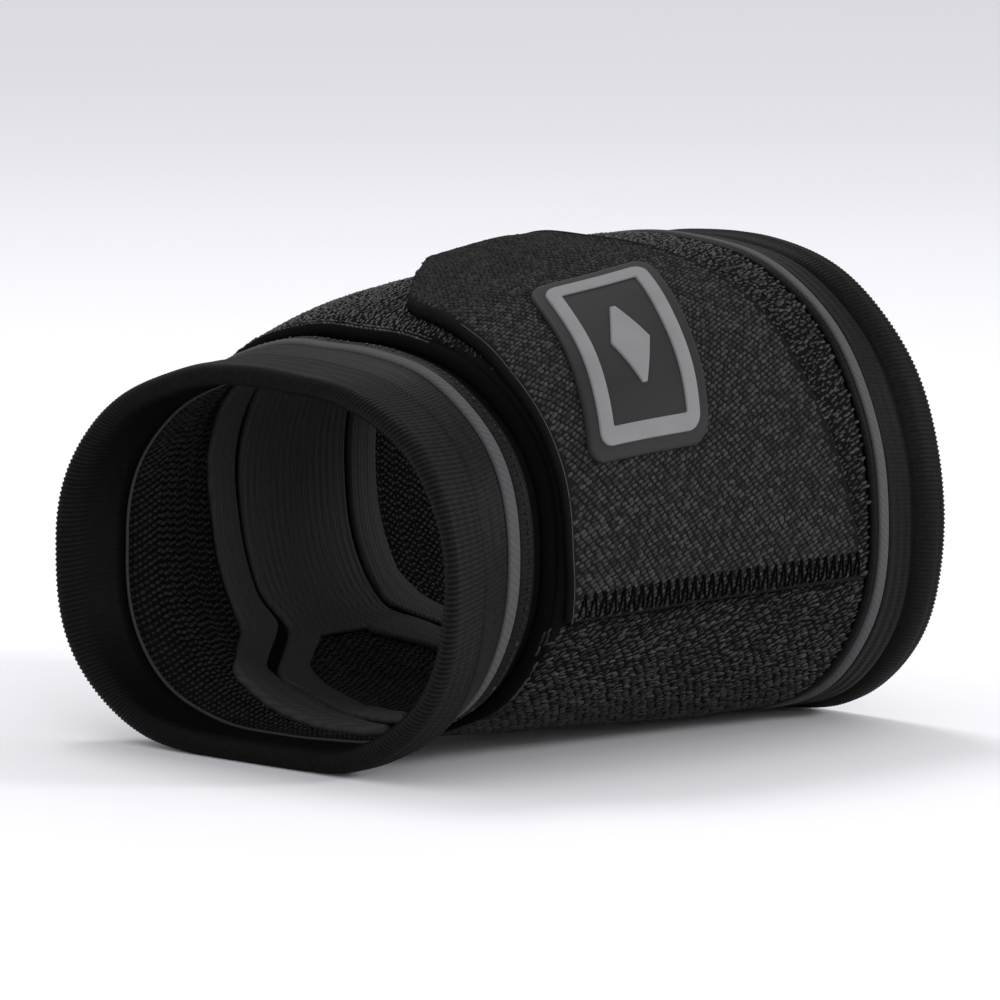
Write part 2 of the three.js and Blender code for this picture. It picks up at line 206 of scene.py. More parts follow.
FAR_ARM_EDGES = (
    (214.6, 39.6, 47.4),  # under the panel's end
    (217.6, 41.2, 50.8),
    (220, 43.4, 52.2),
    (223, 46.6, 53.8),
    (226, 48.8, 54.2),
    (238, 50.8, 55.4),
    (265, 53.4, 57.2),
    (285, 55.6, 58.6),
)


def form_sizes(at):
    """The form's sizes along the sleeve, on a smooth curve through its sections."""
    places = SECTIONS[:, 0]
    sizes = SECTIONS[:, 1:]
    last = len(places) - 1
    at = np.clip(at, places[0], places[-1])
    start = np.clip(np.searchsorted(places, at, side="right") - 1, 0, last - 1)
    end = start + 1
    before = np.where(start > 0, start - 1, 1)
    after = np.where(end < last, end + 1, last - 1)
    span = places[end] - places[start]
    pull_before = span / 2 / (places[start] - places[before])
    pull_after = span / 2 / (places[after] - places[end])
    share = (at - places[start]) / span
    square = share ** 2
    cube = share ** 3
    weights = {
        "before": pull_before * (2 * square - cube - share),
        "start": (
            (1 + pull_before) * cube - (1.5 + 2 * pull_before) * square + (pull_before - 0.5) * share + 1
        ),
        "end": (1.5 + pull_after) * square - (1 + pull_after) * cube + 0.5 * share,
        "after": pull_after * (cube - square),
    }
    rows = {"before": before, "start": start, "end": end, "after": after}
    return sum(weights[row][..., None] * sizes[rows[row]] for row in rows)


def ripple(at, angle):
    turn = np.radians(angle)
    return sum(height * np.sin(waves * turn + lean * at + start) for height, waves, lean, start in RIPPLES)


def bent_flat(height, lowest):
    """Heights that run softly into the lowest one."""
    above = height - lowest
    bend = np.clip(above + REST_BEND, 0, None) ** 2 / (4 * REST_BEND)
    return lowest + np.where(above > REST_BEND, above, bend)


def sleeve_points(at, angle, out):
    """Points of the sleeve, pressed flat where they would reach below the surface it lies on."""
    at, angle, out = np.broadcast_arrays(
        np.asarray(at, float), np.asarray(angle, float), np.asarray(out, float)
    )
    sizes = np.moveaxis(form_sizes(at), -1, 0)
    half_width, set_back, half_height, mid_height, lean = sizes[:5]
    lower_power, front_power, back_power = sizes[5:]
    cosine = np.cos(np.radians(angle))
    sine = np.sin(np.radians(angle))
    power = np.where(sine > 0, np.where(cosine > 0, front_power, back_power), lower_power)
    raised = out + ripple(at, angle)
    across = np.abs(cosine / (half_width + raised)) ** power
    upright = np.abs(sine / (half_height + raised)) ** power
    radius = (across + upright) ** (-1 / power)
    height = bent_flat(mid_height + radius * sine, REST_LEVEL - np.minimum(out, 0))
    along = at + lean * radius * sine / half_height
    points = np.stack((along, set_back - radius * cosine, height), axis=-1)
    return (points - FORM_ORIGIN) * MM


def unit(vectors):
    return vectors / np.linalg.norm(vectors, axis=-1, keepdims=True)


def sleeve_directions(at, angle, out):
    """Directions along the sleeve, round it and out of it."""
    step = 0.05
    along = unit(sleeve_points(at + step, angle, out) - sleeve_points(at - step, angle, out))
    around = unit(sleeve_points(at, angle + step, out) - sleeve_points(at, angle - step, out))
    return along, around, unit(np.cross(along, around))


def signed_angle(angle):
    return (angle + 180) % 360 - 180


def path_lengths(points):
    """Distances along a row of points from its first one."""
    steps = np.linalg.norm(np.diff(points, axis=0), axis=-1)
    return np.concatenate(([0], np.cumsum(steps)))


# Meshes. UV maps count centimetres, round the sleeve and along it.
UV_PER_METRE = 100


def mesh_object(name, points, faces, corner_uvs, attributes=None):
    mesh = bpy.data.meshes.new(name)
    mesh.from_pydata(points.reshape(-1, 3).tolist(), [], faces.tolist())
    layer = mesh.uv_layers.new(name="UVMap")
    layer.data.foreach_set("uv", np.ravel(corner_uvs * UV_PER_METRE).astype(np.float32))
    for label, values in (attributes or {}).items():
        attribute = mesh.attributes.new(label, "FLOAT", "POINT")
        attribute.data.foreach_set("value", np.ravel(values).astype(np.float32))
    mesh.shade_smooth()
    return new_object(name, mesh)


def grid_faces(lines, columns, closed):
    """A face for each cell between neighbouring lines of points."""
    line = np.arange(lines if closed else lines - 1)[:, None]
    column = np.arange(columns if closed else columns - 1)[None, :]
    next_line = (line + 1) % lines
    next_column = (column + 1) % columns
    corners = np.broadcast_arrays(
        line * columns + column,
        line * columns + next_column,
        next_line * columns + next_column,
        next_line * columns + column,
    )
    return np.stack(corners, axis=-1).reshape(-1, 4)


def ring_object(name, profile, sides):
    """A closed profile carried round the sleeve. Its rows are at, out and the share of the rib's height,
    with the outer side first, from near to far."""
    profile = np.array(profile, float)
    angles = np.arange(sides) * 360 / sides
    points = sleeve_points(profile[:, 0], angles[:, None], profile[:, 1])
    girth = path_lengths(sleeve_points(profile[:, 0].mean(), np.append(angles, 360), 0))
    travel = path_lengths(np.vstack((profile[:, :2], profile[:1, :2]))) * MM
    flat = np.stack(np.meshgrid(girth, travel, indexing="ij"), axis=-1)
    corner_uvs = np.stack((flat[:-1, :-1], flat[:-1, 1:], flat[1:, 1:], flat[1:, :-1]), axis=2)
    turn = np.broadcast_to(angles[:, None] / 360, points.shape[:2])
    rib = np.broadcast_to(profile[:, 2], points.shape[:2])
    # how far each row lies inside the band, for painted shade there
    depth = np.broadcast_to(np.clip(-profile[:, 1] / LIP_WALL, 0, 1), points.shape[:2])
    faces = grid_faces(sides, len(profile), closed=True)
    return mesh_object(name, points, faces, corner_uvs, {"turn": turn, "rib": rib, "depth": depth})


EDGE_SMOOTHING = 1.4  # degrees over which a strip's edges turn
ROW_STEP = 0.8
END_STEPS = (0.15, 0.4, 0.8)  # further rows at a strip's ends, for its rounding
SMOOTHING_STEPS = 9


def strip_edges(rows):
    """A strip's angles with its near and far edges, in close steps and with softly turning edges."""
    rows = np.array(rows, float)
    first = rows[0, 0]
    last = rows[-1, 0]
    even = np.linspace(first, last, round((last - first) / ROW_STEP) + 1)
    ends = [first + step for step in END_STEPS] + [last - step for step in END_STEPS]
    angles = np.unique(np.concatenate((even, ends)))
    shifts = np.linspace(-EDGE_SMOOTHING, EDGE_SMOOTHING, SMOOTHING_STEPS)
    edges = []
    for column in (1, 2):
        reach = np.minimum(np.minimum(angles - first, last - angles), EDGE_SMOOTHING) / EDGE_SMOOTHING
        spread = angles + shifts[:, None] * reach
        edges.append(np.interp(spread, rows[:, 0], rows[:, column]).mean(axis=0))
    return angles, edges[0], edges[1]


def strip_girth(angles, near, far, out):
    """Distances round the sleeve along a strip's middle."""
    middle = np.full(len(angles), (near + far).mean() / 2)
    return path_lengths(sleeve_points(middle, angles, out)) / MM


def rounded_drop(inset, rounding):
    """How far a rounded border lies below its face, at a distance in from the edge."""
    missing = np.maximum(rounding - inset, 0)
    return rounding - np.sqrt(np.maximum(rounding ** 2 - missing ** 2, 0))


def slab_object(name, edges, shares, face, back, rounding, relief=None, slant=None):
    """A layer of cloth or rubber on the sleeve between two edges. Its shown face is at one distance out,
    with a rounded border and any relief, and its back is at another. shares are its columns from near to
    far, and a slant turns its rows by some degrees."""
    angles, near, far = edges
    outward = math.copysign(1, face - back)
    at = near[:, None] + (far - near)[:, None] * shares
    girth = strip_girth(angles, near, far, face)
    from_sides = np.minimum(at - near[:, None], far[:, None] - at)
    from_ends = np.minimum(girth, girth[-1] - girth)[:, None]
    inset = np.minimum(from_sides, from_ends)
    raised = -rounded_drop(inset, rounding)
    if relief is not None:
        raised = raised + relief(shares) * np.clip(inset / rounding, 0, 1)
    turned = angles[:, None]
    if slant is not None:
        turned = turned + slant(at, turned)
    face_points = sleeve_points(at, turned, face + outward * raised)
    back_points = sleeve_points(at, turned, back)
    lines, columns = at.shape
    count = lines * columns
    upper = grid_faces(lines, columns, closed=False)
    numbers = np.arange(count).reshape(lines, columns)
    border = np.concatenate((numbers[0, :-1], numbers[:-1, -1], numbers[-1, :0:-1], numbers[:0:-1, 0]))
    onward = np.roll(border, -1)
    walls = np.stack((border + count, onward + count, onward, border), axis=-1)
    faces = np.vstack((upper, upper[:, ::-1] + count, walls))
    if outward < 0:
        faces = faces[:, ::-1]
    flat = np.stack((np.broadcast_to(girth[:, None], at.shape), at), axis=-1).reshape(-1, 2) * MM
    corner_uvs = np.vstack((flat, flat))[faces]
    return mesh_object(name, np.concatenate((face_points, back_points)), faces, corner_uvs)


# Node trees, for meshes and for materials.


def add_node(tree, kind, inputs=None, **settings):
    """A node with its settings. An input is a value, or another node's output to link."""
    node = tree.nodes.new(kind)
    for name, value in settings.items():
        setattr(node, name, value)
    for key, value in (inputs or {}).items():
        if isinstance(value, bpy.types.NodeSocket):
            tree.links.new(value, node.inputs[key])
        else:
            node.inputs[key].default_value = value
    return node


def arithmetic(tree, operation, first, second=0.0):
    return add_node(tree, "ShaderNodeMath", {0: first, 1: second}, operation=operation).outputs[0]


def point_value(tree, name, kind="FLOAT"):
    """What is stored on the points under a name."""
    node = add_node(tree, "GeometryNodeInputNamedAttribute", {"Name": name}, data_type=kind)
    return node.outputs[0]


def random_between(tree, least, most, seed):
    """A random number for each point or grain."""
    node = add_node(tree, "FunctionNodeRandomValue", {2: least, 3: most, "Seed": seed}, data_type="FLOAT")
    return node.outputs[1]


def new_tree(name, sizes):
    """An empty geometry tree with a named input for each of its sizes."""
    tree = bpy.data.node_groups.new(name, "GeometryNodeTree")
    tree.is_modifier = True
    tree.interface.new_socket("Geometry", in_out="INPUT", socket_type="NodeSocketGeometry")
    tree.interface.new_socket("Geometry", in_out="OUTPUT", socket_type="NodeSocketGeometry")
    for label, kind in sizes.items():
        tree.interface.new_socket(label, in_out="INPUT", socket_type=kind)
    return tree, tree.nodes.new("NodeGroupInput").outputs


def end_tree(tree, geometry, material):
    """Closes a tree: plain smooth mesh in its material."""
    real = add_node(tree, "GeometryNodeRealizeInstances", {"Geometry": geometry})
    smooth = add_node(tree, "GeometryNodeSetShadeSmooth", {"Geometry": real.outputs[0]})
    finished = add_node(
        tree, "GeometryNodeSetMaterial", {"Geometry": smooth.outputs[0], "Material": material}
    )
    add_node(tree, "NodeGroupOutput", {0: finished.outputs[0]})


def apply_tree(piece, tree, sizes):
    """Runs a tree on a piece and keeps what it makes as the piece's plain mesh."""
    modifier = piece.modifiers.new(tree.name, "NODES")
    modifier.node_group = tree
    for item in tree.interface.items_tree:
        if item.in_out == "INPUT" and item.name in sizes:
            modifier[item.identifier] = sizes[item.name]
    evaluated = piece.evaluated_get(bpy.context.evaluated_depsgraph_get())
    made = bpy.data.meshes.new_from_object(evaluated)
    piece.modifiers.remove(modifier)
    seed = piece.data
    piece.data = made
    bpy.data.meshes.remove(seed)
    made.name = piece.name
    return piece


def stitch_tree():
    """A grain of yarn on each point, lying along the point's own direction."""
    tree, given = new_tree("stitch field", {
        "Length": "NodeSocketFloat",
        "Width": "NodeSocketFloat",
        "Height": "NodeSocketFloat",
        "Sides": "NodeSocketInt",
        "Rings": "NodeSocketInt",
        "Turn Spread": "NodeSocketFloat",
        "Tilt Spread": "NodeSocketFloat",
        "Size Spread": "NodeSocketFloat",
        "Turn Seed": "NodeSocketInt",
        "Tilt Seed": "NodeSocketInt",
        "Size Seed": "NodeSocketInt",
        "Tone Seed": "NodeSocketInt",
        "Material": "NodeSocketMaterial",
    })
    ball = add_node(
        tree, "GeometryNodeMeshUVSphere",
        {"Segments": given["Sides"], "Rings": given["Rings"], "Radius": 0.5},
    )
    size = add_node(
        tree, "ShaderNodeCombineXYZ",
        {"X": given["Height"], "Y": given["Width"], "Z": given["Length"]},
    )
    grain = add_node(
        tree, "GeometryNodeTransform",
        {"Geometry": ball.outputs["Mesh"], "Scale": size.outputs[0], "Rotation": (0, math.pi / 2, 0)},
    )
    along = point_value(tree, "along", "FLOAT_VECTOR")
    outward = point_value(tree, "outward", "FLOAT_VECTOR")
    facing = add_node(
        tree, "FunctionNodeAxesToRotation",
        {"Primary Axis": outward, "Secondary Axis": along},
        primary_axis="Z", secondary_axis="X",
    )
    least_turn = arithmetic(tree, "MULTIPLY", given["Turn Spread"], -1.0)
    turn = random_between(tree, least_turn, given["Turn Spread"], given["Turn Seed"])
    least_tilt = arithmetic(tree, "MULTIPLY", given["Tilt Spread"], -1.0)
    tilt = random_between(tree, least_tilt, given["Tilt Spread"], given["Tilt Seed"])
    about = add_node(tree, "ShaderNodeCombineXYZ", {"Y": tilt, "Z": turn})
    swing = add_node(tree, "FunctionNodeEulerToRotation", {"Euler": about.outputs[0]})
    turned = add_node(
        tree, "FunctionNodeRotateRotation",
        {"Rotation": facing.outputs[0], "Rotate By": swing.outputs[0]},
        rotation_space="LOCAL",
    )
    least = arithmetic(tree, "SUBTRACT", 1.0, given["Size Spread"])
    most = arithmetic(tree, "ADD", 1.0, given["Size Spread"])
    placed = add_node(
        tree, "GeometryNodeInstanceOnPoints",
        {
            "Points": given["Geometry"],
            "Instance": grain.outputs[0],
            "Rotation": turned.outputs[0],
            "Scale": random_between(tree, least, most, given["Size Seed"]),
        },
    )
    # each grain's random tone, times the painted light stored on its point
    light = point_value(tree, "light")
    shade = random_between(tree, 0.0, 1.0, given["Tone Seed"])
    toned = add_node(
        tree, "GeometryNodeStoreNamedAttribute",
        {
            "Geometry": placed.outputs[0],
            "Name": "shade",
            "Value": arithmetic(tree, "MULTIPLY", shade, light),
        },
        data_type="FLOAT", domain="INSTANCE",
    )
    end_tree(tree, toned.outputs[0], given["Material"])
    return tree


def rib_tree():
    """Ribs across a band: its surface rises and falls along the girth by each point's share."""
    tree, given = new_tree("rib knit", {
        "Ribs": "NodeSocketInt",
        "Rib Height": "NodeSocketFloat",
        "Material": "NodeSocketMaterial",
    })
    turn = point_value(tree, "turn")
    share = point_value(tree, "rib")
    passed = arithmetic(tree, "MULTIPLY", turn, given["Ribs"])
    wave = arithmetic(tree, "COSINE", arithmetic(tree, "MULTIPLY", passed, 2 * math.pi))
    height = arithmetic(tree, "MULTIPLY", share, given["Rib Height"])
    normal = add_node(tree, "GeometryNodeInputNormal")
    raised = add_node(
        tree, "ShaderNodeVectorMath",
        {0: normal.outputs[0], "Scale": arithmetic(tree, "MULTIPLY", wave, height)},
        operation="SCALE",
    )
    ribbed = add_node(
        tree, "GeometryNodeSetPosition", {"Geometry": given["Geometry"], "Offset": raised.outputs[0]}
    )
    # each point's place on its rib, kept for painted shade: the material darkens the valleys and lightens
    # the crests
    crested = add_node(
        tree, "GeometryNodeStoreNamedAttribute",
        {
            "Geometry": ribbed.outputs[0],
            "Name": "crest",
            "Value": arithmetic(tree, "MULTIPLY", wave, share),
        },
        data_type="FLOAT", domain="POINT",
    )
    end_tree(tree, crested.outputs[0], given["Material"])
    return tree


def thread_tree():
    """A round thread along a line of points, with softened turns."""
    tree, given = new_tree("thread", {
        "Radius": "NodeSocketFloat",
        "Sides": "NodeSocketInt",
        "Turn Radius": "NodeSocketFloat",
        "Turn Steps": "NodeSocketInt",
        "Material": "NodeSocketMaterial",
    })
    line = add_node(tree, "GeometryNodeMeshToCurve", {"Mesh": given["Geometry"]})
    soft = add_node(
        tree, "GeometryNodeFilletCurve",
        {
            "Curve": line.outputs[0],
            "Count": given["Turn Steps"],
            "Radius": given["Turn Radius"],
            "Limit Radius": True,
        },
        mode="POLY",
    )
    section = add_node(
        tree, "GeometryNodeCurvePrimitiveCircle",
        {"Resolution": given["Sides"], "Radius": given["Radius"]},
    )
    thread = add_node(
        tree, "GeometryNodeCurveToMesh",
        {"Curve": soft.outputs[0], "Profile Curve": section.outputs[0], "Fill Caps": True},
    )
    end_tree(tree, thread.outputs[0], given["Material"])
    return tree


# Materials. Noise scales count features in a metre, and the scales of patterns on the UV map those in a
# centimetre.
WAVE_UNIT = math.pi / 10  # a wave pattern of scale 1 repeats after this length
BLUE_TRACE = 1.03
FIBRE_LIFT = 0.4  # added to the fibres' noise, to keep grains from going black
# painted shade on the bands: rib valleys darker and crests lighter by the first, the inside darker by the
# second
PAINTED_RIB_SHADE = 0.7
PAINTED_INSIDE_SHADE = 0.55


def new_material(name, roughness, specular):
    material = bpy.data.materials.new(name)
    material.use_nodes = True
    tree = material.node_tree
    shader = tree.nodes["Principled BSDF"]
    shader.inputs["Roughness"].default_value = roughness
    shader.inputs["Specular IOR Level"].default_value = specular
    place = tree.nodes.new("ShaderNodeTexCoord").outputs
    return material, tree, shader, place


def grey(value):
    """A neutral colour with a trace of blue."""
    return (value, value, value * BLUE_TRACE, 1)


def mixed(tree, factor, low, high):
    node = add_node(tree, "ShaderNodeMix", {0: factor, 6: low, 7: high}, data_type="RGBA")
    return node.outputs[2]


def noise(tree, place, scale, detail=2.0):
    node = add_node(tree, "ShaderNodeTexNoise", {"Vector": place, "Scale": scale, "Detail": detail})
    return node.outputs["Fac"]


def stored(tree, name):
    """A value that is stored on the mesh under a name."""
    return add_node(tree, "ShaderNodeAttribute", attribute_name=name).outputs["Fac"]


def wave(tree, place, pitch, direction, distortion):
    """Bands of a pitch in centimetres on the UV map."""
    node = add_node(
        tree, "ShaderNodeTexWave",
        {"Vector": place, "Scale": WAVE_UNIT / pitch, "Distortion": distortion, "Detail": 1.0},
        wave_type="BANDS", bands_direction=direction, wave_profile="SIN",
    )
    return node.outputs["Fac"]


def emboss(tree, shader, height, depth):
    """Bump of a depth in millimetres."""
    bump = add_node(tree, "ShaderNodeBump", {"Height": height, "Distance": depth * MM, "Strength": 1.0})
    tree.links.new(bump.outputs[0], shader.inputs["Normal"])


def paint(tree, shader, colour):
    tree.links.new(colour, shader.inputs["Base Color"])


def yarn_grains(name, low, high, contrast, roughness, specular):
    """Loops of yarn, each in a random shade of its own times the painted light stored on it."""
    material, tree, shader, place = new_material(name, roughness, specular)
    shade = stored(tree, "shade")
    fibre = noise(tree, place["Object"], scale=2600, detail=3.0)
    tone = arithmetic(tree, "POWER", shade, contrast)
    tone = arithmetic(tree, "MULTIPLY", tone, arithmetic(tree, "ADD", fibre, FIBRE_LIFT))
    paint(tree, shader, mixed(tree, tone, grey(low), grey(high)))
    emboss(tree, shader, fibre, depth=0.05)
    return material


def knit_ground(name, low, high):
    """The dark depth between loops of yarn."""
    material, tree, shader, place = new_material(name, roughness=0.95, specular=0.03)
    fibre = noise(tree, place["Object"], scale=1600, detail=3.0)
    paint(tree, shader, mixed(tree, fibre, grey(low), grey(high)))
    emboss(tree, shader, fibre, depth=0.06)
    return material


def rib_knit(name, low, high):
    """Fine black knit, with painted shade: darker between its ribs and inside the band, lighter on its
    crests.
    """
    material, tree, shader, place = new_material(name, roughness=0.5, specular=0.05)
    crest = stored(tree, "crest")
    fibre = noise(tree, place["Object"], scale=1500, detail=3.0)
    depth = stored(tree, "depth")
    # painted shade: crests lighter, valleys and the band's inside darker
    tone = arithmetic(tree, "ADD", arithmetic(tree, "MULTIPLY", crest, PAINTED_RIB_SHADE), fibre)
    tone = arithmetic(tree, "SUBTRACT", tone, arithmetic(tree, "MULTIPLY", depth, PAINTED_INSIDE_SHADE))
    paint(tree, shader, mixed(tree, tone, grey(low), grey(high)))
    emboss(tree, shader, fibre, depth=0.04)
    return material


def smooth_knit(name, low, high):
    """Fine black knit with close courses along the band."""
    material, tree, shader, place = new_material(name, roughness=0.8, specular=0.05)
    course = wave(tree, place["UV"], pitch=0.055, direction="Y", distortion=0.8)
    fibre = noise(tree, place["Object"], scale=1500, detail=3.0)
    tone = arithmetic(tree, "MULTIPLY", course, fibre)
    paint(tree, shader, mixed(tree, tone, grey(low), grey(high)))
    emboss(tree, shader, arithmetic(tree, "ADD", course, fibre), depth=0.04)
    return material


def pale_yarn():
    """Mid-grey yarn, with a slanting twist."""
    material, tree, shader, place = new_material("pale_yarn", roughness=0.8, specular=0.05)
    twist = wave(tree, place["UV"], pitch=0.05, direction="DIAGONAL", distortion=0.8)
    fibre = noise(tree, place["Object"], scale=1500, detail=3.0)
    tone = arithmetic(tree, "MULTIPLY", twist, fibre)
    paint(tree, shader, mixed(tree, tone, grey(0.06), grey(0.085)))
    emboss(tree, shader, arithmetic(tree, "ADD", twist, fibre), depth=0.015)
    return material


def seam_thread():
    """Black sewing thread."""
    material, tree, shader, place = new_material("seam_thread", roughness=0.8, specular=0.02)
    twist = noise(tree, place["Object"], scale=3000, detail=2.0)
    paint(tree, shader, mixed(tree, twist, grey(0.0008), grey(0.003)))
    emboss(tree, shader, twist, depth=0.04)
    return material


def rubber(name, low, high, roughness):
    """Moulded satin rubber with a fine grain and faint mottling."""
    material, tree, shader, place = new_material(name, roughness, specular=0.12)
    mottle = noise(tree, place["Object"], scale=260, detail=3.0)
    grain = noise(tree, place["Object"], scale=5000, detail=2.0)
    paint(tree, shader, mixed(tree, mottle, grey(low), grey(high)))
    emboss(tree, shader, grain, depth=0.02)
    return material


# Pieces.


def ride(piece, slot, *nodes):
    """Puts a finished piece on the sleeve, in the place of the solids that it stands for."""
    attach(piece, "root")
    if nodes:
        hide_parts(*nodes)
    return piece


def wear(piece, material):
    piece.data.materials.clear()
    piece.data.materials.append(material)
    return piece


def press_flat(piece):
    """Presses flat what a finish has pushed below the surface under the sleeve."""
    places = np.empty(len(piece.data.vertices) * 3, np.float32)
    piece.data.vertices.foreach_get("co", places)
    places[2::3] = np.maximum(places[2::3], 0)
    piece.data.vertices.foreach_set("co", places)
    piece.data.update()
    return piece


# The body's wall, and the stitches over it.
WALL_SIDES = 240
WALL_STEPS = 28
WALL_GROUND = -0.15  # the wall between the outer stitches
WALL_EDGE_ROUND = 0.6
KNIT = {
    "onward": (1.0, 0.38), "beside": (-0.39, 0.51), "jitter": 0.24, "pitch": 0.86,
    "Length": 1.25, "Width": 0.52, "Height": 0.36, "Sides": 4, "Rings": 3,
    "Turn Spread": 0.3, "Tilt Spread": 0.2, "Size Spread": 0.22,
}
WEAVE_SLANT = 20  # degrees from along the sleeve
LINING = {
    "row": 0.64, "pitch": 0.92, "jitter": 0.06,
    "Length": 1.15, "Width": 0.7, "Height": 0.3, "Sides": 4, "Rings": 2,
    "Turn Spread": 0.16, "Tilt Spread": 0.1, "Size Spread": 0.14,
}
# the crease below the strap's near corner has no stitches, so the dark ground shows there as painted shade
CREASE = ((-45, 17.3), (-35, 16.9), (-27.6, 17.0), (-21.3, 17.9), (-15.5, 19.6))  # angle and at
CREASE_HALF_WIDTH = 0.5
BARE_KNIT_ENDS = ((-16, 20.6), (30, 20.6), (62, 18.2))  # angle, and how far the knit is left bare under and beside the strap's near edge: partly hidden by it, partly painted shade
SHADOW = ((44, 0.3), (70, 1.0))  # angle, and the light on the knit beside the strap's near edge
SHADOW_END = 22.5
LINING_RISE = 0.04  # how far the lining's loops stand off the wall
KNIT_INSETS = (0.3, 0.4)  # of the first and last stitches from the body's ends
LINING_INSETS = (0.7, 0.6)  # of the lining's loops from the lip's and the rim's welts
STRAP_COVER = 0.5  # how far the stitches run in under the strap
PANEL_COVER = 0.2  # how far the loops run in under the panel and its bands
FIRST_ANGLE = -90  # the body's stitches start under the sleeve
SEEDS = {"Turn Seed": 3, "Tilt Seed": 19, "Size Seed": 11, "Tone Seed": 27}
LENGTH_INPUTS = ("Length", "Width", "Height")
PLACE_SIZES = ("row", "pitch", "onward", "beside", "jitter", "margin")  # of a lattice, not of its grains


def body_wall(material):
    tuck_near = WELT_END + GAP
    tuck_far = RIM_WELT_START - GAP
    tuck_out = -(CUFF_WALL + GAP)
    along = np.linspace(BODY_START + WALL_EDGE_ROUND, BODY_END - WALL_EDGE_ROUND, WALL_STEPS)
    inner = np.linspace(tuck_far, tuck_near, WALL_STEPS)
    profile = [
        (tuck_near, tuck_out, 0),
        (WRIST_STRIPE_AT, tuck_out, 0),
        (WRIST_CUFF_END, tuck_out, 0),
        (BODY_START, tuck_out, 0),
        (BODY_START, WALL_GROUND - WALL_EDGE_ROUND, 0),
        *((at, WALL_GROUND, 0) for at in along),
        (BODY_END, WALL_GROUND - WALL_EDGE_ROUND, 0),
        (BODY_END, tuck_out, 0),
        (tuck_far, tuck_out, 0),
        *((at, -BODY_WALL, 0) for at in inner),
    ]
    return wear(ring_object("body_wall", profile, WALL_SIDES), material)


def girth_angles(at, out, pitch, offset):
    """Angles that lie a pitch apart round the sleeve."""
    girth = path_lengths(sleeve_points(at, FINE_TURN, out)) / MM
    count = round(girth[-1] / pitch)
    return np.interp((np.arange(count) + offset) / count * girth[-1], girth, FINE_TURN)


def knit_places(start, end, sizes, out):
    """Staggered places all round the sleeve, each a little off its row, as arrays of at and angle."""
    rows = np.linspace(start, end, round((end - start) / sizes["row"]) + 1)
    angles = [girth_angles(at, out, sizes["pitch"], (number % 2) / 2) for number, at in enumerate(rows)]
    at = np.repeat(rows, [len(row_angles) for row_angles in angles])
    angle = np.concatenate(angles)
    chance = np.random.default_rng(JITTER_SEED)
    at = at + chance.uniform(-1, 1, len(at)) * sizes["jitter"]
    angle = angle + chance.uniform(-1, 1, len(at)) * sizes["jitter"] / ARC_PER_DEGREE
    return at, angle


def lattice_places(start, end, length, sizes):
    """Places of a slanting lattice, as arrays of at and of the distance round the sleeve. Its two steps are
    given along the sleeve and round it."""
    steps = np.array((sizes["onward"], sizes["beside"]))
    corners = np.array(((start, 0), (start, length), (end, 0), (end, length)))
    counts = corners @ np.linalg.inv(steps)
    least = np.floor(counts.min(axis=0))
    most = np.ceil(counts.max(axis=0))
    onward, beside = np.meshgrid(np.arange(least[0], most[0] + 1), np.arange(least[1], most[1] + 1))
    at, run = (np.stack((onward.ravel(), beside.ravel()), axis=-1) @ steps).T
    inside = (at >= start) & (at <= end) & (run >= 0) & (run < length)
    return at[inside], run[inside]


def joined(first, second):
    """A strip from the near edge of one strip to the far edge of another."""
    first = np.array(first)
    second = np.array(second)
    angles = np.union1d(first[:, 0], second[:, 0])
    near = np.interp(angles, first[:, 0], first[:, 1])
    far = np.interp(angles, second[:, 0], second[:, 2])
    return np.stack((angles, near, far), axis=-1)


def covered(at, angle, rows, margin, first_angle):
    """Which places lie under a strip, except for a margin inside its edges."""
    rows = np.array(rows, float)
    turned = (angle - first_angle) % 360 + first_angle
    near = np.interp(turned, rows[:, 0], rows[:, 1]) + margin
    far = np.interp(turned, rows[:, 0], rows[:, 2]) - margin
    return (turned > rows[0, 0] + margin) & (turned < rows[-1, 0] - margin) & (at > near) & (at < far)


def stitches(name, at, angle, out, slant, sizes, material, inward=False, light=1.0):
    """Grains of yarn on the sleeve, turned by a slant from along it towards round it. light is 1, or less
    for grains that lie in shadow."""
    along, around, outward = sleeve_directions(at, angle, out)
    turn = np.radians(np.broadcast_to(slant, at.shape))[:, None]
    mesh = bpy.data.meshes.new(name)
    mesh.from_pydata(sleeve_points(at, angle, out).tolist(), [], [])
    directions = {
        "along": along * np.cos(turn) + around * np.sin(turn),
        "outward": -outward if inward else outward,
    }
    for label, vectors in directions.items():
        attribute = mesh.attributes.new(label, "FLOAT_VECTOR", "POINT")
        attribute.data.foreach_set("vector", np.ravel(vectors).astype(np.float32))
    lit = mesh.attributes.new("light", "FLOAT", "POINT")
    lit.data.foreach_set("value", np.broadcast_to(light, at.shape).astype(np.float32))
    piece = new_object(name, mesh)
    given = {label: size for label, size in sizes.items() if label not in PLACE_SIZES}
    given.update({label: sizes[label] * MM for label in LENGTH_INPUTS})
    apply_tree(piece, STITCH_TREE, {**given, **SEEDS, "Material": material})
    for label in (*directions, "light"):
        piece.data.attributes.remove(piece.data.attributes[label])
    return press_flat(piece)


def in_crease(at, angle):
    """Which places lie in the crease below the strap's near corner, where the stitches are left out so the
    dark ground shows as painted shade.
    """
    crease = np.array(CREASE)
    turned = signed_angle(angle)
    near_line = np.abs(at - np.interp(turned, crease[:, 0], crease[:, 1])) < CREASE_HALF_WIDTH
    return near_line & (turned > crease[0, 0]) & (turned < crease[-1, 0])


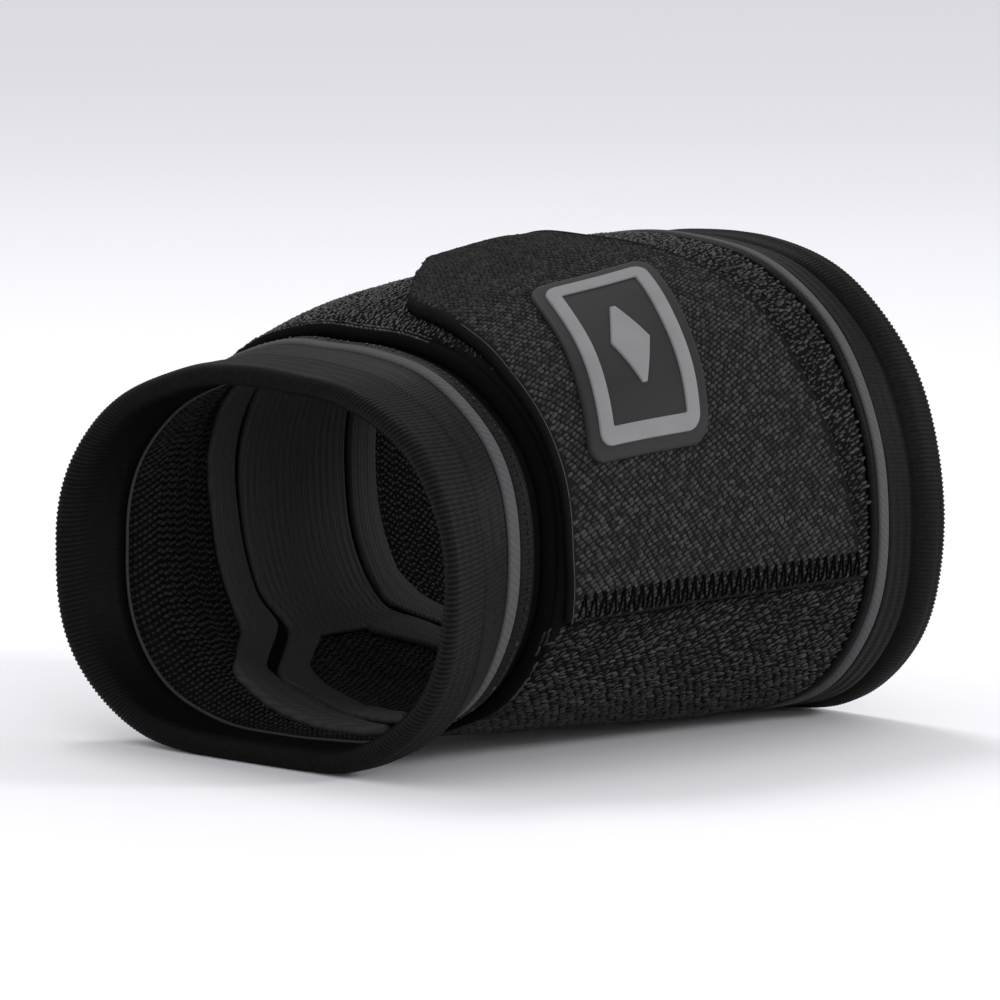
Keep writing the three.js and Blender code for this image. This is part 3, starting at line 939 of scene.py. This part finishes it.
def strap_edge_cover_and_shade(at, angle):
    """Which places lie under the strap's near edge or beside it in its shade, where the knit is left bare as
    painted shade.
    """
    turned = signed_angle(angle)
    ends = np.array(BARE_KNIT_ENDS)
    beside = (turned > ends[0, 0]) & (turned < ends[-1, 0])
    return beside & (at > WRIST_CUFF_END) & (at < np.interp(turned, ends[:, 0], ends[:, 1]))


def edge_shadow(at, angle):
    """The light on each place, less where the knit sinks in beside the strap's near edge."""
    turned = signed_angle(angle)
    shadow = np.array(SHADOW)
    shaded = np.interp(turned, shadow[:, 0], shadow[:, 1])
    return np.where((turned > BARE_KNIT_ENDS[0][0]) & (at < SHADOW_END), shaded, 1)


def body_stitches(material):
    turns = FINE_TURN + FIRST_ANGLE
    girth = path_lengths(sleeve_points((BODY_START + BODY_END) / 2, turns, 0)) / MM
    start = BODY_START + KNIT_INSETS[0]
    at, run = lattice_places(start, BODY_END - KNIT_INSETS[1], girth[-1], KNIT)
    chance = np.random.default_rng(JITTER_SEED)
    at = at + chance.uniform(-1, 1, len(at)) * KNIT["jitter"]
    run = run + chance.uniform(-1, 1, len(at)) * KNIT["jitter"]
    angle = np.interp(run, girth, turns)
    # stitches are left out under the strap, and also beside its near edge and in the crease, where the dark
    # ground shows as painted shade
    covered_or_shaded = covered(at, angle, STRAP_EDGES, STRAP_COVER, FIRST_ANGLE) | strap_edge_cover_and_shade(at, angle)
    bare = ~covered_or_shaded & ~in_crease(at, angle)
    at = at[bare]
    angle = angle[bare]
    light = edge_shadow(at, angle)
    return stitches("body_stitches", at, angle, WALL_GROUND, WEAVE_SLANT, KNIT, material, light=light)


def lining_stitches(material):
    out = -BODY_WALL - LINING_RISE
    at, angle = knit_places(WELT_END + LINING_INSETS[0], RIM_WELT_START - LINING_INSETS[1], LINING, out)
    near_side = joined(NEAR_BAND_EDGES, PANEL_EDGES + NEAR_ARM_EDGES)
    far_side = joined(PANEL_EDGES + FAR_ARM_EDGES, FAR_BAND_EDGES)
    under_near = covered(at, angle, near_side, PANEL_COVER, 0)
    under_far = covered(at, angle, far_side, PANEL_COVER, 0)
    bare = ~(under_near | under_far)
    return stitches("lining_stitches", at[bare], angle[bare], out, 0, LINING, material, inward=True)


# Bands at both ends, in fine ribs across them and soft courses round them.
RIB_PITCH = 0.57
RIB_HEIGHT = 0.11
SIDES_PER_RIB = 3
BAND_RIB = 0.35  # the ribs' height on a band's flat parts, as a share
LIP_RIB = 0.7
INNER_RIB = 0.2
COURSE_PITCH = 1.6
COURSE_HEIGHT = 0.045
COURSE_STEPS = 5
ROLL_STEPS = 10
STRIPE_WIDTH = 1.8
STRIPE_TOP = 0.28
CHANNEL_WIDTH = 2.1
CHANNEL_DEPTH = 0.5
CHANNEL_BEND = (0.25, 0.12)  # the knit's turn into a channel, along the sleeve and inwards
STRIPE_DOME = 0.2
STRIPE_STEPS = 8
STRIPE_CLEARANCE = 0.1
WELT_BEND = 0.3
INNER_STEPS = 4
RIM_SWELL = 0.4


def rolled_edge(tip, inward):
    """A rolled edge from its inner side round its tip. inward is the way from the tip into the band."""
    turns = np.radians(np.linspace(-90, 90, ROLL_STEPS + 1))
    return [
        (tip + inward * LIP_ROUND * (1 - math.cos(turn)), LIP_ROUND * (math.sin(turn) - 1), 1)
        for turn in turns
    ]


def channel(middle):
    near = middle - CHANNEL_WIDTH / 2
    far = middle + CHANNEL_WIDTH / 2
    along, inwards = CHANNEL_BEND
    return [
        (near - along, 0, BAND_RIB),
        (near, -inwards, 0),
        (near, -CHANNEL_DEPTH, 0),
        (far, -CHANNEL_DEPTH, 0),
        (far, -inwards, 0),
        (far + along, 0, BAND_RIB),
    ]


def flat_run(start, end, steps, out, rib=BAND_RIB):
    """Even places along a band between a start and an end, without those two."""
    return [(at, out, rib) for at in np.linspace(start, end, steps + 2)[1:-1]]


def course_run(start, end, rib):
    """Soft courses along a band between a start and an end, without those two."""
    steps = round((end - start) / COURSE_PITCH * COURSE_STEPS)
    places = np.linspace(start, end, steps + 1)[1:-1]
    return [(at, COURSE_HEIGHT * math.cos(2 * math.pi * at / COURSE_PITCH), rib) for at in places]


def ribbed_ring(name, profile, material):
    at = np.array(profile)[:, 0].mean()
    girth = path_lengths(sleeve_points(at, FINE_TURN, 0))[-1] / MM
    ribs = round(girth / RIB_PITCH)
    piece = ring_object(name, profile, ribs * SIDES_PER_RIB)
    apply_tree(piece, RIB_TREE, {"Ribs": ribs, "Rib Height": RIB_HEIGHT * MM, "Material": material})
    for label in ("turn", "rib"):
        piece.data.attributes.remove(piece.data.attributes[label])
    return press_flat(piece)


def wrist_band(material):
    profile = [
        *rolled_edge(0, 1),
        *course_run(LIP_ROUND, WELT_END - WELT_BEND, LIP_RIB),
        (WELT_END - 0.25, 0.05, LIP_RIB),
        (WELT_END + 0.05, -0.2, 0.2),  # line where the lip's fold ends
        (WELT_END + 0.35, 0.05, BAND_RIB),
        *course_run(WELT_END + 0.4, WRIST_STRIPE_AT - CHANNEL_WIDTH / 2 - CHANNEL_BEND[0], BAND_RIB),
        *channel(WRIST_STRIPE_AT),
        (EDGE_STITCHES_AT, 0, BAND_RIB),
        (EDGE_STITCHES_AT + 0.6, -0.06, 0.2),
        (WRIST_CUFF_END, -0.4, 0),
        (WRIST_CUFF_END, -CUFF_WALL, 0),
        (WRIST_STRIPE_AT, -CUFF_WALL, 0),
        (WELT_END, -CUFF_WALL, 0),
        (WELT_END, -LIP_WALL + WELT_BEND, 0),
        (WELT_END - WELT_BEND, -LIP_WALL, INNER_RIB),
        *flat_run(WELT_END - WELT_BEND, LIP_ROUND, INNER_STEPS, -LIP_WALL, INNER_RIB),
    ]
    return ribbed_ring("wrist_band", profile, material)


def forearm_band(material):
    start = BODY_END + GAP
    profile = [
        (start, -0.35, 0),
        (start + 0.35, 0, BAND_RIB),
        *channel(FOREARM_STRIPE_AT),
        *course_run(
            FOREARM_STRIPE_AT + CHANNEL_WIDTH / 2 + CHANNEL_BEND[0], RIM_GROOVE_AT - 0.8, BAND_RIB
        ),
        (RIM_GROOVE_AT - 0.7, -0.05, BAND_RIB),
        (RIM_GROOVE_AT - 0.3, -0.6, 0),
        (RIM_GROOVE_AT, -0.9, 0),
        (RIM_GROOVE_AT + 0.35, -0.55, 0),
        (RIM_GROOVE_AT + 0.9, 0.05, 0.5),
        (RIM_GROOVE_AT + 1.9, 0.3, 0.6),
        (RIM_SWELL_AT, RIM_SWELL, 0.7),
        (RIM_SWELL_AT + 0.6, RIM_SWELL - 0.22, 0.7),  # a faint line round the rim
        *reversed(rolled_edge(RIM_END, -1)),
        *flat_run(RIM_END - LIP_ROUND, RIM_WELT_START, INNER_STEPS, -LIP_WALL, INNER_RIB),
        (RIM_WELT_START, -LIP_WALL + 0.2, 0),
        (RIM_WELT_START, -CUFF_WALL, 0),
        (start, -CUFF_WALL, 0),
    ]
    return ribbed_ring("forearm_band", profile, material)


RING_SIDES = 300


def stripe(name, middle, material):
    """A domed stripe of yarn in its channel."""
    half = STRIPE_WIDTH / 2
    shares = np.linspace(-1, 1, STRIPE_STEPS + 1)
    dome = [(middle + half * share, STRIPE_TOP - STRIPE_DOME * share ** 4, 0) for share in shares]
    bottom = -CHANNEL_DEPTH + STRIPE_CLEARANCE
    profile = [*dome, (middle + half, bottom, 0), (middle - half, bottom, 0)]
    return press_flat(wear(ring_object(name, profile, RING_SIDES), material))


HEM_CORD = {"at": 17.25, "out": -0.45, "half_width": 0.9, "half_height": 0.75, "steps": 14}
HEM_STITCHES = ((17.4, 0.2), (18.05, 0.1))  # at and out of each row
WELT_LINE = {"at": 6.75, "out": -2.66, "half_width": 0.16, "half_height": 0.2, "steps": 8}


def cord_ring(name, cord, material):
    """A cord laid round the sleeve."""
    turns = math.pi - 2 * math.pi * np.arange(cord["steps"]) / cord["steps"]
    profile = []
    for turn in turns:
        along = cord["half_width"] * math.cos(turn)
        up = cord["half_height"] * math.sin(turn)
        profile.append((cord["at"] + along, cord["out"] + up, 0))
    return press_flat(wear(ring_object(name, profile, RING_SIDES), material))


EDGE_STITCH = {
    "pitch": 1.2,
    "Length": 0.7, "Width": 0.42, "Height": 0.4, "Sides": 6, "Rings": 4,
    "Turn Spread": 0.3, "Tilt Spread": 0.1, "Size Spread": 0.25,
}
EDGE_STITCHES = ((EDGE_STITCHES_AT, 0.0),)
EDGE_STITCH_SLANT = 60
HEM_STITCH_SLANT = 78


def stitch_rows(name, rows, slant, sizes, material):
    """Rows of grains round the sleeve. A row is its at and out."""
    angles = [girth_angles(at, out, sizes["pitch"], number / 2) for number, (at, out) in enumerate(rows)]
    at, out = np.repeat(rows, [len(row_angles) for row_angles in angles], axis=0).T
    angle = np.concatenate(angles)
    # stitches in the crease and under and beside the strap's near edge are left out, so the dark ground
    # shows as painted shade
    bare = ~in_crease(at, angle) & ~strap_edge_cover_and_shade(at, angle)
    light = edge_shadow(at, angle)[bare]
    return stitches(name, at[bare], angle[bare], out[bare], slant, sizes, material, light=light)


# The strap and what is on it.
STRAP_BOTTOM = GAP
STRAP_TOP = 1.8
STRAP_ROUND = 0.5
STRAP_THINNING = {"from": 0.65, "by": 0.5}  # from a share of its width to its far edge
STRAP_COLUMNS = 44
SEWN_SLANT = -2.6  # degrees by which the sewn edge sinks towards the forearm end
SEWN_REACH = (-14, 30)  # angles between which that fades out
TWILL = {
    "onward": (0.96, 0.34), "beside": (-0.36, 0.46), "jitter": 0.15, "margin": 0.5,
    "Length": 1.04, "Width": 0.62, "Height": 0.3, "Sides": 5, "Rings": 3,
    "Turn Spread": 0.25, "Tilt Spread": 0.16, "Size Spread": 0.2,
}
TWILL_ENDS = (0.4, 0.3)  # how far its first and last grains lie in from the strap's ends
TOP_SHADE = ((55, 1.0), (85, 0.5))  # angle, and the light on the strap's weave
PATCH_AT = 37.6
PATCH_ANGLE = 38.6
PATCH_SLANT = 0.35  # shift along the sleeve for each step up round it
PATCH = {"half_width": 10.6, "half_height": 15.2, "corner": 3.0}
PATCH_FACE = 2.5
PATCH_BACK = 1.8
FRAME = {"half_width": 8.8, "half_height": 13.4, "corner": 2.0}
FRAME_BAND = 2.3
LOZENGE = {"half_width": 3.4, "half_height": 6.4}
EMBLEM_FACE = 2.8
EMBLEM_BACK = 2.4
PATCH_ROUND = 0.35
PATCH_STEPS = 40
PATCH_COVER = 1  # how far the weave runs in under the patch
EMBLEM_ROUND = 0.22
LOZENGE_STEPS = (28, 20)  # in height and across
LOZENGE_BLUNT = 0.12  # width of its tips, as a share


def even_shares(columns):
    return np.linspace(0, 1, columns + 1)


def edge_shares(columns):
    """Columns that lie closer together towards both edges."""
    return (1 - np.cos(np.pi * even_shares(columns))) / 2


def sewn_slant(at, angle):
    """Degrees by which the strap is turned near its sewn edge."""
    start, end = SEWN_REACH
    _, near, far = STRAP_EDGES[0]
    return SEWN_SLANT * (at - near) / (far - near) * np.clip((end - angle) / (end - start), 0, 1)


def strap_thinning(share):
    """How far the strap's face is lowered at a share of its width."""
    step = np.clip((share - STRAP_THINNING["from"]) / (1 - STRAP_THINNING["from"]), 0, 1)
    return STRAP_THINNING["by"] * step ** 2 * (3 - 2 * step)


def strap_relief(shares):
    return -strap_thinning(shares)


def wrap_strap(material):
    edges = strip_edges(STRAP_EDGES)
    shares = edge_shares(STRAP_COLUMNS)
    piece = slab_object(
        "wrap_strap", edges, shares, STRAP_TOP, STRAP_BOTTOM, STRAP_ROUND, strap_relief, sewn_slant
    )
    return wear(piece, material)


def strap_grains(material):
    """Twill on the strap, in a slanting lattice of grains."""
    angles, near, far = strip_edges(STRAP_EDGES)
    girth = strip_girth(angles, near, far, STRAP_TOP)
    at, run = lattice_places(near.min(), far.max(), girth[-1], TWILL)
    chance = np.random.default_rng(JITTER_SEED)
    at = at + chance.uniform(-1, 1, len(at)) * TWILL["jitter"]
    angle = np.interp(run, girth, angles)
    from_near = at - np.interp(angle, angles, near)
    from_far = np.interp(angle, angles, far) - at
    from_ends = np.minimum(run - TWILL_ENDS[0], girth[-1] - run - TWILL_ENDS[1])
    height = (angle - PATCH_ANGLE) * ARC_PER_DEGREE
    across = at - PATCH_AT - PATCH_SLANT * height
    beside_middle = np.abs(across) < PATCH["half_width"] - PATCH_COVER
    under_patch = beside_middle & (np.abs(height) < PATCH["half_height"] - PATCH_COVER)
    inset = np.minimum(from_near, from_far)
    shown = (inset > TWILL["margin"]) & (from_ends > 0) & ~under_patch
    thinning = strap_thinning(from_near / (from_near + from_far))
    drop = rounded_drop(np.minimum(inset, from_ends), STRAP_ROUND) + thinning
    turned = angle + sewn_slant(at, angle)
    shades = np.array(TOP_SHADE)
    light = np.interp(angle, shades[:, 0], shades[:, 1])
    return stitches(
        "strap_grains", at[shown], turned[shown], STRAP_TOP - drop[shown], WEAVE_SLANT, TWILL, material,
        light=light[shown],
    )


def thread_object(name, points, sizes, material):
    """A thread along a line of points."""
    mesh = bpy.data.meshes.new(name)
    links = [(number, number + 1) for number in range(len(points) - 1)]
    mesh.from_pydata(points.tolist(), links, [])
    piece = new_object(name, mesh)
    given = {**sizes, "Material": material}
    given.update({label: sizes[label] * MM for label in ("Radius", "Turn Radius")})
    return apply_tree(piece, THREAD_TREE, given)


ZIGZAG = {"Radius": 0.15, "Sides": 8, "Turn Radius": 0.06, "Turn Steps": 2}
ZIGZAG_STITCHES = 32
ZIGZAG_RUN = (19.9, 69.2)
ZIGZAG_STITCH = np.array((  # share of a stitch, degrees above the sewn edge and out
    (0, -1.0, 0.6),
    (0.12, 0.6, 1.6),
    (0.18, 1.5, 2.0),
    (0.5, 6.2, 2.05),
    (0.82, 1.5, 2.0),
    (0.88, 0.6, 1.6),
))
ZIGZAG_FACE = 1.3  # its points further out than this lie on the strap's face
# a thin pale thread along the strap's near edge: a painted highlight on that edge
EDGE_HIGHLIGHT = {"Radius": 0.065, "Sides": 6, "Turn Radius": 0.2, "Turn Steps": 2}
EDGE_HIGHLIGHT_INSET = 0.2
EDGE_HIGHLIGHT_OUT = 1.68
EDGE_HIGHLIGHT_END = 60


def zigzag_seam(material):
    """Zigzag stitches from the strap over its sewn edge to the body."""
    start, end = ZIGZAG_RUN
    pitch = (end - start) / ZIGZAG_STITCHES
    shares = np.arange(ZIGZAG_STITCHES)[:, None] + ZIGZAG_STITCH[:, 0]
    at = (start + pitch * shares).ravel()
    sewn, near, far = STRAP_EDGES[0]
    angle = sewn + sewn_slant(at, sewn) + np.tile(ZIGZAG_STITCH[:, 1], ZIGZAG_STITCHES)
    out = np.tile(ZIGZAG_STITCH[:, 2], ZIGZAG_STITCHES)
    out = np.where(out > ZIGZAG_FACE, out - strap_thinning((at - near) / (far - near)), out)
    return thread_object("zigzag_seam", sleeve_points(at, angle, out), ZIGZAG, material)


def strap_edge_highlight(material):
    """A painted highlight along the strap's fused near edge, a thin paler line."""
    angles, near, _ = strip_edges(STRAP_EDGES)
    shown = angles <= EDGE_HIGHLIGHT_END
    points = sleeve_points(near[shown] + EDGE_HIGHLIGHT_INSET, angles[shown], EDGE_HIGHLIGHT_OUT)
    return thread_object("strap_edge_highlight", points, EDGE_HIGHLIGHT, material)


def patch_edges(heights, half_widths):
    angles = PATCH_ANGLE + heights / ARC_PER_DEGREE
    middles = PATCH_AT + PATCH_SLANT * heights
    return angles, middles - half_widths, middles + half_widths


def patch_heights(half_height, steps):
    """Heights that lie closer together towards a shape's top and bottom."""
    return half_height * (2 * edge_shares(steps) - 1)


def patch(material):
    heights = patch_heights(PATCH["half_height"], PATCH_STEPS)
    corner = PATCH["corner"]
    into_corner = np.maximum(np.abs(heights) - (PATCH["half_height"] - corner), 0)
    half_widths = PATCH["half_width"] - corner + np.sqrt(np.maximum(corner ** 2 - into_corner ** 2, 0))
    edges = patch_edges(heights, half_widths)
    shares = edge_shares(PATCH_STEPS)
    return wear(slab_object("patch", edges, shares, PATCH_FACE, PATCH_BACK, PATCH_ROUND), material)


def patch_lozenge(material):
    heights = patch_heights(LOZENGE["half_height"], LOZENGE_STEPS[0])
    taper = 1 - np.abs(heights) / LOZENGE["half_height"]
    half_widths = LOZENGE["half_width"] * (LOZENGE_BLUNT + (1 - LOZENGE_BLUNT) * taper)
    edges = patch_edges(heights, half_widths)
    shares = edge_shares(LOZENGE_STEPS[1])
    piece = slab_object("patch_lozenge", edges, shares, EMBLEM_FACE, EMBLEM_BACK, EMBLEM_ROUND)
    return wear(piece, material)


CORNER_STEPS = 10
SIDE_STEPS = 24
SHOULDER_STEPS = 3
LEAST_CORNER = 0.3


def oblong_outline(shape, inset, out):
    """A rounded oblong on the patch, moved in by an inset."""
    corner = max(shape["corner"] - inset, LEAST_CORNER)
    reach = np.array((shape["half_width"], shape["half_height"])) - inset - corner
    arcs = []
    for quarter, signs in enumerate(((1, -1), (1, 1), (-1, 1), (-1, -1))):
        turns = np.radians(np.linspace(quarter * 90 - 90, quarter * 90, CORNER_STEPS + 1))
        arcs.append(reach * signs + corner * np.stack((np.cos(turns), np.sin(turns)), axis=-1))
    runs = []
    for arc, following in zip(arcs, arcs[1:] + arcs[:1]):
        runs += [arc, np.linspace(arc[-1], following[0], SIDE_STEPS + 1)[1:-1]]
    across, height = np.concatenate(runs).T
    at = PATCH_AT + PATCH_SLANT * height + across
    return sleeve_points(at, PATCH_ANGLE + height / ARC_PER_DEGREE, out)


def patch_frame(material):
    """A raised band along a rounded oblong, with rounded shoulders."""
    shoulder = [
        (EMBLEM_ROUND * (1 - math.cos(turn)), EMBLEM_FACE - EMBLEM_ROUND * (1 - math.sin(turn)))
        for turn in np.radians(np.linspace(0, 90, SHOULDER_STEPS + 1))
    ]
    section = [
        *((FRAME_BAND - inset, out) for inset, out in shoulder),
        *reversed(shoulder),
        (0, EMBLEM_BACK),
        (FRAME_BAND, EMBLEM_BACK),
    ]
    lines = np.stack([oblong_outline(FRAME, inset, out) for inset, out in section], axis=1)
    faces = grid_faces(lines.shape[0], lines.shape[1], closed=True)
    flat = lines.reshape(-1, 3)[:, [0, 2]]
    return wear(mesh_object("patch_frame", lines, faces, flat[faces]), material)


# The raised panel on the inner back wall.
PANEL_FACE = -3.4
PANEL_BACK = -2.35
PANEL_RIBS = 15
PANEL_RIB_HEIGHT = 0.2
COLUMNS_PER_RIB = 8
PANEL_ROUND = 0.35
STRIP_ROUND = 0.45
STRIP_COLUMNS = 24
STRIP_CROWN = 0.15
STRIP_LINES = 3
STRIP_LINE_HEIGHT = 0.04


PANEL_STRIPS = (  # piece, edges and the solid it stands for
    ("panel_band_near", NEAR_BAND_EDGES, "inner_band_near"),
    ("panel_band_far", FAR_BAND_EDGES, "inner_band_far"),
    ("panel_arm_near", NEAR_ARM_EDGES, "inner_arm_near"),
    ("panel_arm_far", FAR_ARM_EDGES, "inner_arm_far"),
)


def panel_relief(shares):
    """Soft ribs side by side."""
    return PANEL_RIB_HEIGHT * np.sin(np.pi * PANEL_RIBS * shares) ** 2


def strip_relief(shares):
    """A soft crown with faint lines along it."""
    crown = STRIP_CROWN * (1 - (2 * shares - 1) ** 2)
    return crown + STRIP_LINE_HEIGHT * np.cos(2 * np.pi * STRIP_LINES * shares)


def ribbed_panel(material):
    edges = strip_edges(PANEL_EDGES)
    shares = even_shares(PANEL_RIBS * COLUMNS_PER_RIB)
    piece = slab_object("ribbed_panel", edges, shares, PANEL_FACE, PANEL_BACK, PANEL_ROUND, panel_relief)
    return wear(piece, material)


def panel_strip(name, rows, material):
    edges = strip_edges(rows)
    shares = even_shares(STRIP_COLUMNS)
    piece = slab_object(name, edges, shares, PANEL_FACE, PANEL_BACK, STRIP_ROUND, strip_relief)
    return wear(piece, material)


def strip_flat(rows, out):
    """A strip's mean width and its length along the middle, in metres."""
    angles, near, far = strip_edges(rows)
    length = path_lengths(sleeve_points((near + far) / 2, angles, out))[-1]
    girth = strip_girth(angles, near, far, out) * MM
    widths = (far - near) * MM
    area = float(np.sum((widths[1:] + widths[:-1]) / 2 * np.diff(girth)))
    return area / length, float(length)


def ring_flat(at, out, length):
    """The size of a knitted tube cut open: its girth and its length, in metres."""
    return float(path_lengths(sleeve_points(at, FINE_TURN, out))[-1]), length * MM


# Where the girths of the body and the two bands are measured for their flat sizes.
BODY_GIRTH_AT = 45
WRIST_GIRTH_AT = 8
FOREARM_GIRTH_AT = 80
WELT_FOLD = WELT_END  # the bands are doubled over by this much

STITCH_TREE = stitch_tree()
RIB_TREE = rib_tree()
THREAD_TREE = thread_tree()


def make_sleeve():
    coarse = yarn_grains("coarse_knit", 0.005, 0.04, contrast=2.4, roughness=0.45, specular=0.15)
    coarse_ground = knit_ground("coarse_knit_ground", 0.003, 0.006)
    lining_yarn = yarn_grains("lining_knit", 0.014, 0.023, contrast=1.0, roughness=0.7, specular=0.05)
    smooth = rib_knit("smooth_knit", 0.003, 0.013)
    rim_knit = rib_knit("rim_knit", 0.002, 0.0085)
    # lighter than the bands' knit: partly the panel's own tone, partly painted light inside the sleeve
    panel_yarn = smooth_knit("panel_knit", 0.03, 0.05)
    pale = pale_yarn()
    twill = yarn_grains("strap_weave", 0.018, 0.047, contrast=1.3, roughness=0.8, specular=0.02)
    twill_ground = knit_ground("strap_weave_ground", 0.006, 0.011)
    thread = seam_thread()
    dark_rubber = rubber("dark_rubber", 0.014, 0.019, roughness=0.6)
    pale_rubber = rubber("pale_rubber", 0.15, 0.19, roughness=0.6)

    wall = ride(body_wall(coarse_ground), "coarse_knit", "sleeve_body")
    outer = ride(body_stitches(coarse), "coarse_knit")
    lining = ride(lining_stitches(lining_yarn), "coarse_knit")
    wrist = ride(wrist_band(smooth), "smooth_knit", "wrist_cuff")
    wrist_stripe = ride(stripe("wrist_band_stripe", WRIST_STRIPE_AT, pale), "pale_yarn", "wrist_stripe")
    edge = ride(
        stitch_rows("band_edge_stitches", EDGE_STITCHES, EDGE_STITCH_SLANT, EDGE_STITCH, coarse),
        "smooth_knit",
    )
    hem = ride(cord_ring("hem_cord", HEM_CORD, thread), "smooth_knit", "hem_bead")
    hem_stitches = ride(
        stitch_rows("hem_stitches", HEM_STITCHES, HEM_STITCH_SLANT, KNIT, coarse), "coarse_knit"
    )
    welt = ride(cord_ring("welt_line", WELT_LINE, panel_yarn), "smooth_knit")
    forearm = ride(forearm_band(rim_knit), "smooth_knit", "forearm_cuff")
    forearm_stripe = ride(
        stripe("forearm_band_stripe", FOREARM_STRIPE_AT, pale), "pale_yarn", "forearm_stripe"
    )
    strap = ride(wrap_strap(twill_ground), "strap_weave", "strap")
    grains = ride(strap_grains(twill), "strap_weave")
    seam = ride(zigzag_seam(thread), "smooth_knit")
    edge_highlight = ride(strap_edge_highlight(pale), "pale_yarn")
    badge = [
        ride(patch(dark_rubber), "dark_rubber", "badge_patch"),
        ride(patch_frame(pale_rubber), "pale_rubber", "badge_frame"),
        ride(patch_lozenge(pale_rubber), "pale_rubber", "badge_lozenge"),
    ]
    panel = ride(ribbed_panel(panel_yarn), "smooth_knit", "inner_panel")
    strips = [
        ride(panel_strip(name, edges, panel_yarn), "smooth_knit", node) for name, edges, node in PANEL_STRIPS
    ]

    ring_flat(BODY_GIRTH_AT, 0, RIM_WELT_START - WELT_END)
    ring_flat(WRIST_GIRTH_AT, 0, WRIST_CUFF_END + WELT_FOLD)
    ring_flat(FOREARM_GIRTH_AT, 0, RIM_END - BODY_END + WELT_FOLD)
    strip_flat(STRAP_EDGES, STRAP_TOP)
    strip_flat(PANEL_EDGES, PANEL_FACE)


make_sleeve()

# The floor and the light, in metres and watts. A lamp's row is its name, place, size and power.
FLOOR_SIZE = 12
FLOOR_LEVEL = -0.00005
LAMPS = (
    ("overhead", (0.15, 0.45, 0.85), 0.3, 3),
    ("front", (0.6, -0.85, 0.4), 0.2, 5),
    ("mouth", (-0.6, -0.85, 0.35), 0.3, 1.8),
)
LAMP_AIM = (0, 0, 0.03)
WORLD_GREY = 0.8
WORLD_STRENGTH = 1.05
BRIGHT_SIDE = (0.08, -0.07, 0)  # towards the picture's right, by how much the light changes


def make_floor():
    half = FLOOR_SIZE / 2
    mesh = bpy.data.meshes.new("floor")
    corners = [(x * half, y * half, FLOOR_LEVEL) for x, y in ((-1, -1), (1, -1), (1, 1), (-1, 1))]
    mesh.from_pydata(corners, [], [(0, 1, 2, 3)])
    floor = new_object("floor", mesh)
    material, tree, shader, place = new_material("pale_floor", roughness=0.8, specular=0.1)
    paint(tree, shader, mixed(tree, noise(tree, place["Object"], scale=3), grey(0.8), grey(0.83)))
    wear(floor, material)


def area_light(name, place, size, power):
    data = bpy.data.lights.new(name, "AREA")
    data.shape = "SQUARE"
    data.size = size
    data.energy = power
    light = new_object(name, data)
    light.location = place
    light.rotation_euler = (Vector(LAMP_AIM) - Vector(place)).to_track_quat("-Z", "Y").to_euler()


def make_light():
    for name, place, size, power in LAMPS:
        area_light(name, place, size, power)
    world = bpy.data.worlds.new("studio")
    world.use_nodes = True
    sky = world.node_tree
    background = sky.nodes["Background"].inputs
    background["Color"].default_value = grey(WORLD_GREY)
    direction = sky.nodes.new("ShaderNodeTexCoord").outputs["Generated"]
    side = add_node(sky, "ShaderNodeVectorMath", {0: direction, 1: BRIGHT_SIDE}, operation="DOT_PRODUCT")
    strength = arithmetic(sky, "ADD", side.outputs["Value"], WORLD_STRENGTH)
    sky.links.new(strength, background["Strength"])
    bpy.context.scene.world = world
    bpy.context.scene.view_settings.view_transform = "Standard"


make_floor()
make_light()
